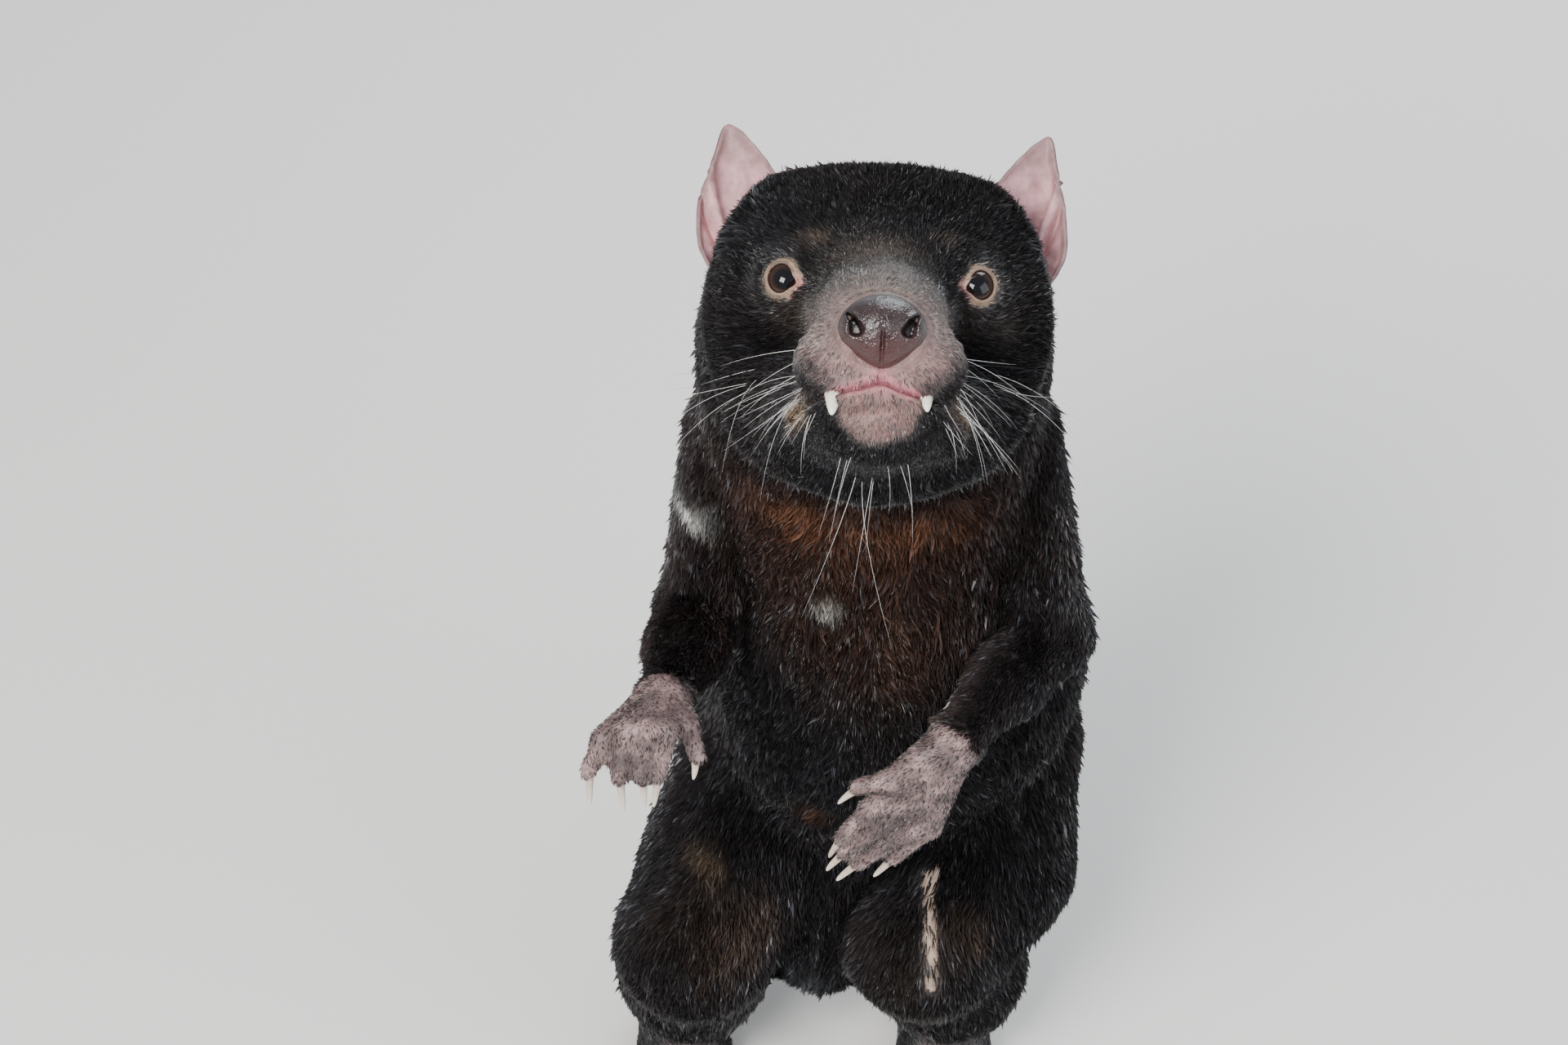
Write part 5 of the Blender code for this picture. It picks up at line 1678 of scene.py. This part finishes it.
@dataclass
class Whiskers:
    """Long tapered hairs on the muzzle, cheeks, brows and chin, most of them white."""

    head: HeadFrame
    skin: Skin
    radius: float = 0.085
    steps: int = 12
    front: float = -209.0
    aside: float = 112.0
    sides: int = 4

    GROUPS = (
        Tuft((27.0, 28.0, -36.0), (3.0, 9.0, 6.0), (0.80, -0.45, -0.25), 10, 30.0, 0.35, 0.5),
        Tuft((26.0, 30.0, -46.0), (4.0, 8.0, 3.0), (0.62, -0.40, -0.62), 10, 26.0, 0.40, 0.9),
        Tuft((30.0, 14.0, -32.0), (3.0, 8.0, 6.0), (0.90, -0.40, -0.15), 12, 42.0, 0.40, 0.15),
        Tuft((40.0, -12.0, -34.0), (5.0, 6.0, 5.0), (0.85, 0.00, -0.35), 8, 34.0, 0.55, 0.3),
        Tuft((20.0, 40.0, -52.0), (4.0, 5.0, 2.0), (0.45, -0.20, -0.85), 6, 15.0, 0.35, 0.95),
        Tuft((10.0, 36.0, -66.0), (7.0, 5.0, 3.0), (0.25, -0.70, -0.80), 3, 20.0, 0.55, 0.95),
        Tuft((22.0, 10.0, 10.0), (3.0, 3.0, 3.0), (0.55, -0.30, 0.55), 3, 17.0, -0.10, 0.3),
    )
    THROAT = (Tuft((-4.0, 6.0, -74.0), (7.0, 6.0, 3.0), (-0.10, -0.30, -0.85), 4, 28.0, 1.10, 1.0),)

    def build(self) -> list[bpy.types.Object]:
        """Grow the white and the black whiskers, one piece of each."""
        draw = np.random.default_rng(SEED + 77)
        tree = BVHTree.FromPolygons([tuple(p) for p in points_in(self.skin.mesh)],
                                    [tuple(f.vertices) for f in self.skin.mesh.polygons])
        lines = {True: [], False: []}
        planted = [(group, side) for group in self.GROUPS for side in (-1.0, 1.0)]
        planted += [(group, 1.0) for group in self.THROAT]
        for group, side in planted:
            for _ in range(group.count):
                white = draw.uniform() < group.white
                lines[white].append(self.line(group, side, tree, draw))
        return [self.tubes("whiskers_white", lines[True], (0.78, 0.78, 0.76)),
                self.tubes("whiskers_black", lines[False], (0.012, 0.010, 0.010))]

    def line(self, group: Tuft, side: float, tree: BVHTree, draw: np.random.Generator) -> np.ndarray:
        """The bent line of one whisker, in millimetres."""
        mirror = np.array([side, 1.0, 1.0])
        spot = (np.array(group.root) + draw.uniform(-1.0, 1.0, 3) * np.array(group.spread)) * mirror
        near, normal, _, _ = tree.find_nearest(Vector(self.head.world(spot)))
        normal = np.array(normal)
        way = self.head.turn((np.array(group.way) + draw.normal(0.0, 0.13, 3)) * mirror)
        way = unit(unit(way) + 0.25 * normal)
        length = group.length * draw.uniform(0.6, 1.25)
        t = np.linspace(0.0, 1.0, self.steps)[:, None]
        bend = unit(np.cross(way, draw.normal(size=3))) * draw.normal(0.0, 0.30)
        fall = np.array([0.0, 0.0, -1.0]) * group.droop
        line = np.array(near) - normal * 0.4 + length * (way * t + (fall + bend) * t * t)
        line[:, 1] = np.maximum(line[:, 1], self.front)
        line[:, 0] = np.clip(line[:, 0], -self.aside, self.aside)
        return line

    def tubes(self, name: str, lines: list[np.ndarray],
              colour: tuple[float, float, float]) -> bpy.types.Object:
        """Thin tapered tubes along lines, as one closed piece."""
        points = []
        faces = []
        for line in lines:
            start = sum(len(p) for p in points)
            way = unit(np.gradient(line, axis=0))
            aside = unit(np.cross(way, [0.31, 0.27, 0.91]))
            other = np.cross(way, aside)
            turn = np.arange(self.sides) * 2.0 * math.pi / self.sides
            thick = self.radius * (1.0 - 0.85 * np.linspace(0.0, 1.0, self.steps) ** 1.3)
            ring = aside[:, None] * np.cos(turn)[None, :, None]
            ring = ring + other[:, None] * np.sin(turn)[None, :, None]
            points.append((line[:, None] + ring * thick[:, None, None]).reshape(-1, 3))
            for i in range(self.steps - 1):
                for j in range(self.sides):
                    k = (j + 1) % self.sides
                    a, b = start + i * self.sides + j, start + i * self.sides + k
                    faces += [(a, b, b + self.sides), (a, b + self.sides, a + self.sides)]
            last = start + (self.steps - 1) * self.sides
            faces += [(start, start + 2, start + 1), (start, start + 3, start + 2),
                      (last, last + 1, last + 2), (last, last + 2, last + 3)]
        mesh = mesh_from_arrays(name, np.vstack(points), np.array(faces))
        set_colour(mesh, np.tile(np.array(colour), (len(mesh.vertices), 1)))
        mesh.shade_smooth()
        return piece_of(name, mesh, FurFinish(name + "_hair", 0.34).material())


@dataclass
class Studio:
    """The floor, the soft light and the camera at the photo's angle and framing."""

    head: HeadFrame
    lens: float = 88.0
    sensor: float = 36.0
    width_px: int = 1920
    height_px: int = 1280
    tilt: float = 45.0
    eye_distance: float = 1380.0
    eyes_px: tuple[float, float] = (1078.5, 347.0)

    def build(self) -> None:
        """Set the stage."""
        self.floor()
        self.light("key", (-0.75, -1.25, 1.75), 0.9, 64.0, (1.0, 0.98, 0.95))
        self.light("fill", (1.35, -0.9, 1.0), 1.4, 16.0, (0.90, 0.95, 1.0))
        self.light("rim", (0.5, 1.25, 1.35), 1.0, 24.0, (0.93, 0.97, 1.0))
        world = bpy.data.worlds.new("studio")
        bpy.context.scene.world = world
        world.use_nodes = True
        back = world.node_tree.nodes["Background"]
        back.inputs["Color"].default_value = (0.92, 0.95, 1.0, 1.0)
        back.inputs["Strength"].default_value = 0.60
        self.camera()

    def floor(self) -> None:
        """A wide pale floor just under the soles."""
        bm = bmesh.new()
        bmesh.ops.create_grid(bm, x_segments=1, y_segments=1, size=6.0)
        mesh = bpy.data.meshes.new("floor")
        bm.to_mesh(mesh)
        bm.free()
        mesh.transform(Matrix.Translation((0.0, 0.0, -0.0002)))
        mesh.materials.append(FloorFinish().material())
        obj = bpy.data.objects.new("floor", mesh)
        bpy.context.scene.collection.objects.link(obj)

    def light(self, name: str, place: tuple[float, float, float], size: float, power: float,
              colour: tuple[float, float, float]) -> None:
        """A square soft light that faces the animal's chest."""
        lamp = bpy.data.lights.new(name, "AREA")
        lamp.shape = "SQUARE"
        lamp.size = size
        lamp.energy = power
        lamp.color = colour
        obj = bpy.data.objects.new(name, lamp)
        bpy.context.scene.collection.objects.link(obj)
        obj.location = place
        aim = Vector((0.0, -0.08, 0.33)) - Vector(place)
        obj.rotation_euler = aim.to_track_quat("-Z", "Y").to_euler()

    def camera(self) -> None:
        """The camera, which looks down at the face from in front."""
        tilt = math.radians(self.tilt)
        ahead = np.array([0.0, math.cos(tilt), -math.sin(tilt)])
        up = np.array([0.0, math.sin(tilt), math.cos(tilt)])
        right = np.array([1.0, 0.0, 0.0])
        focal = self.lens / self.sensor * self.width_px
        aside = (self.eyes_px[0] - self.width_px / 2.0) / focal
        above = (self.height_px / 2.0 - self.eyes_px[1]) / focal
        place = (self.head.origin - self.eye_distance * (ahead + right * aside + up * above)) * MM
        data = bpy.data.cameras.new("camera")
        data.sensor_width = self.sensor
        data.lens = self.lens
        data.clip_start = 0.05
        obj = bpy.data.objects.new("camera", data)
        bpy.context.scene.collection.objects.link(obj)
        turn = Matrix((right, up, -ahead)).transposed().to_4x4()
        obj.matrix_world = Matrix.Translation(Vector(place)) @ turn
        bpy.context.scene.camera = obj


def main() -> None:
    """Build the dressed animal, piece by piece, and the studio round it."""
    logging.basicConfig(level=logging.INFO, format="%(asctime)s %(message)s")
    head = HeadFrame.from_eyes()
    eyes = EyePlace.both(head)
    mouth = Mouth()
    markings = Markings(head, eyes, mouth)
    skin = Skin(head, eyes, mouth, markings)
    obj = skin.build()
    log.info("%s: %d faces", obj.name, len(obj.data.polygons))
    for builder in (Coat(skin, head, markings, 1.0), Eyes(eyes), Ears(head),
                    Horns(), Whiskers(head, skin)):
        for obj in builder.build():
            log.info("%s: %d faces", obj.name, len(obj.data.polygons))
    obj = Nose(head).build()
    log.info("%s: %d faces", obj.name, len(obj.data.polygons))
    Studio(head).build()
    log.info("studio set")


if __name__ == "__main__":
    main()
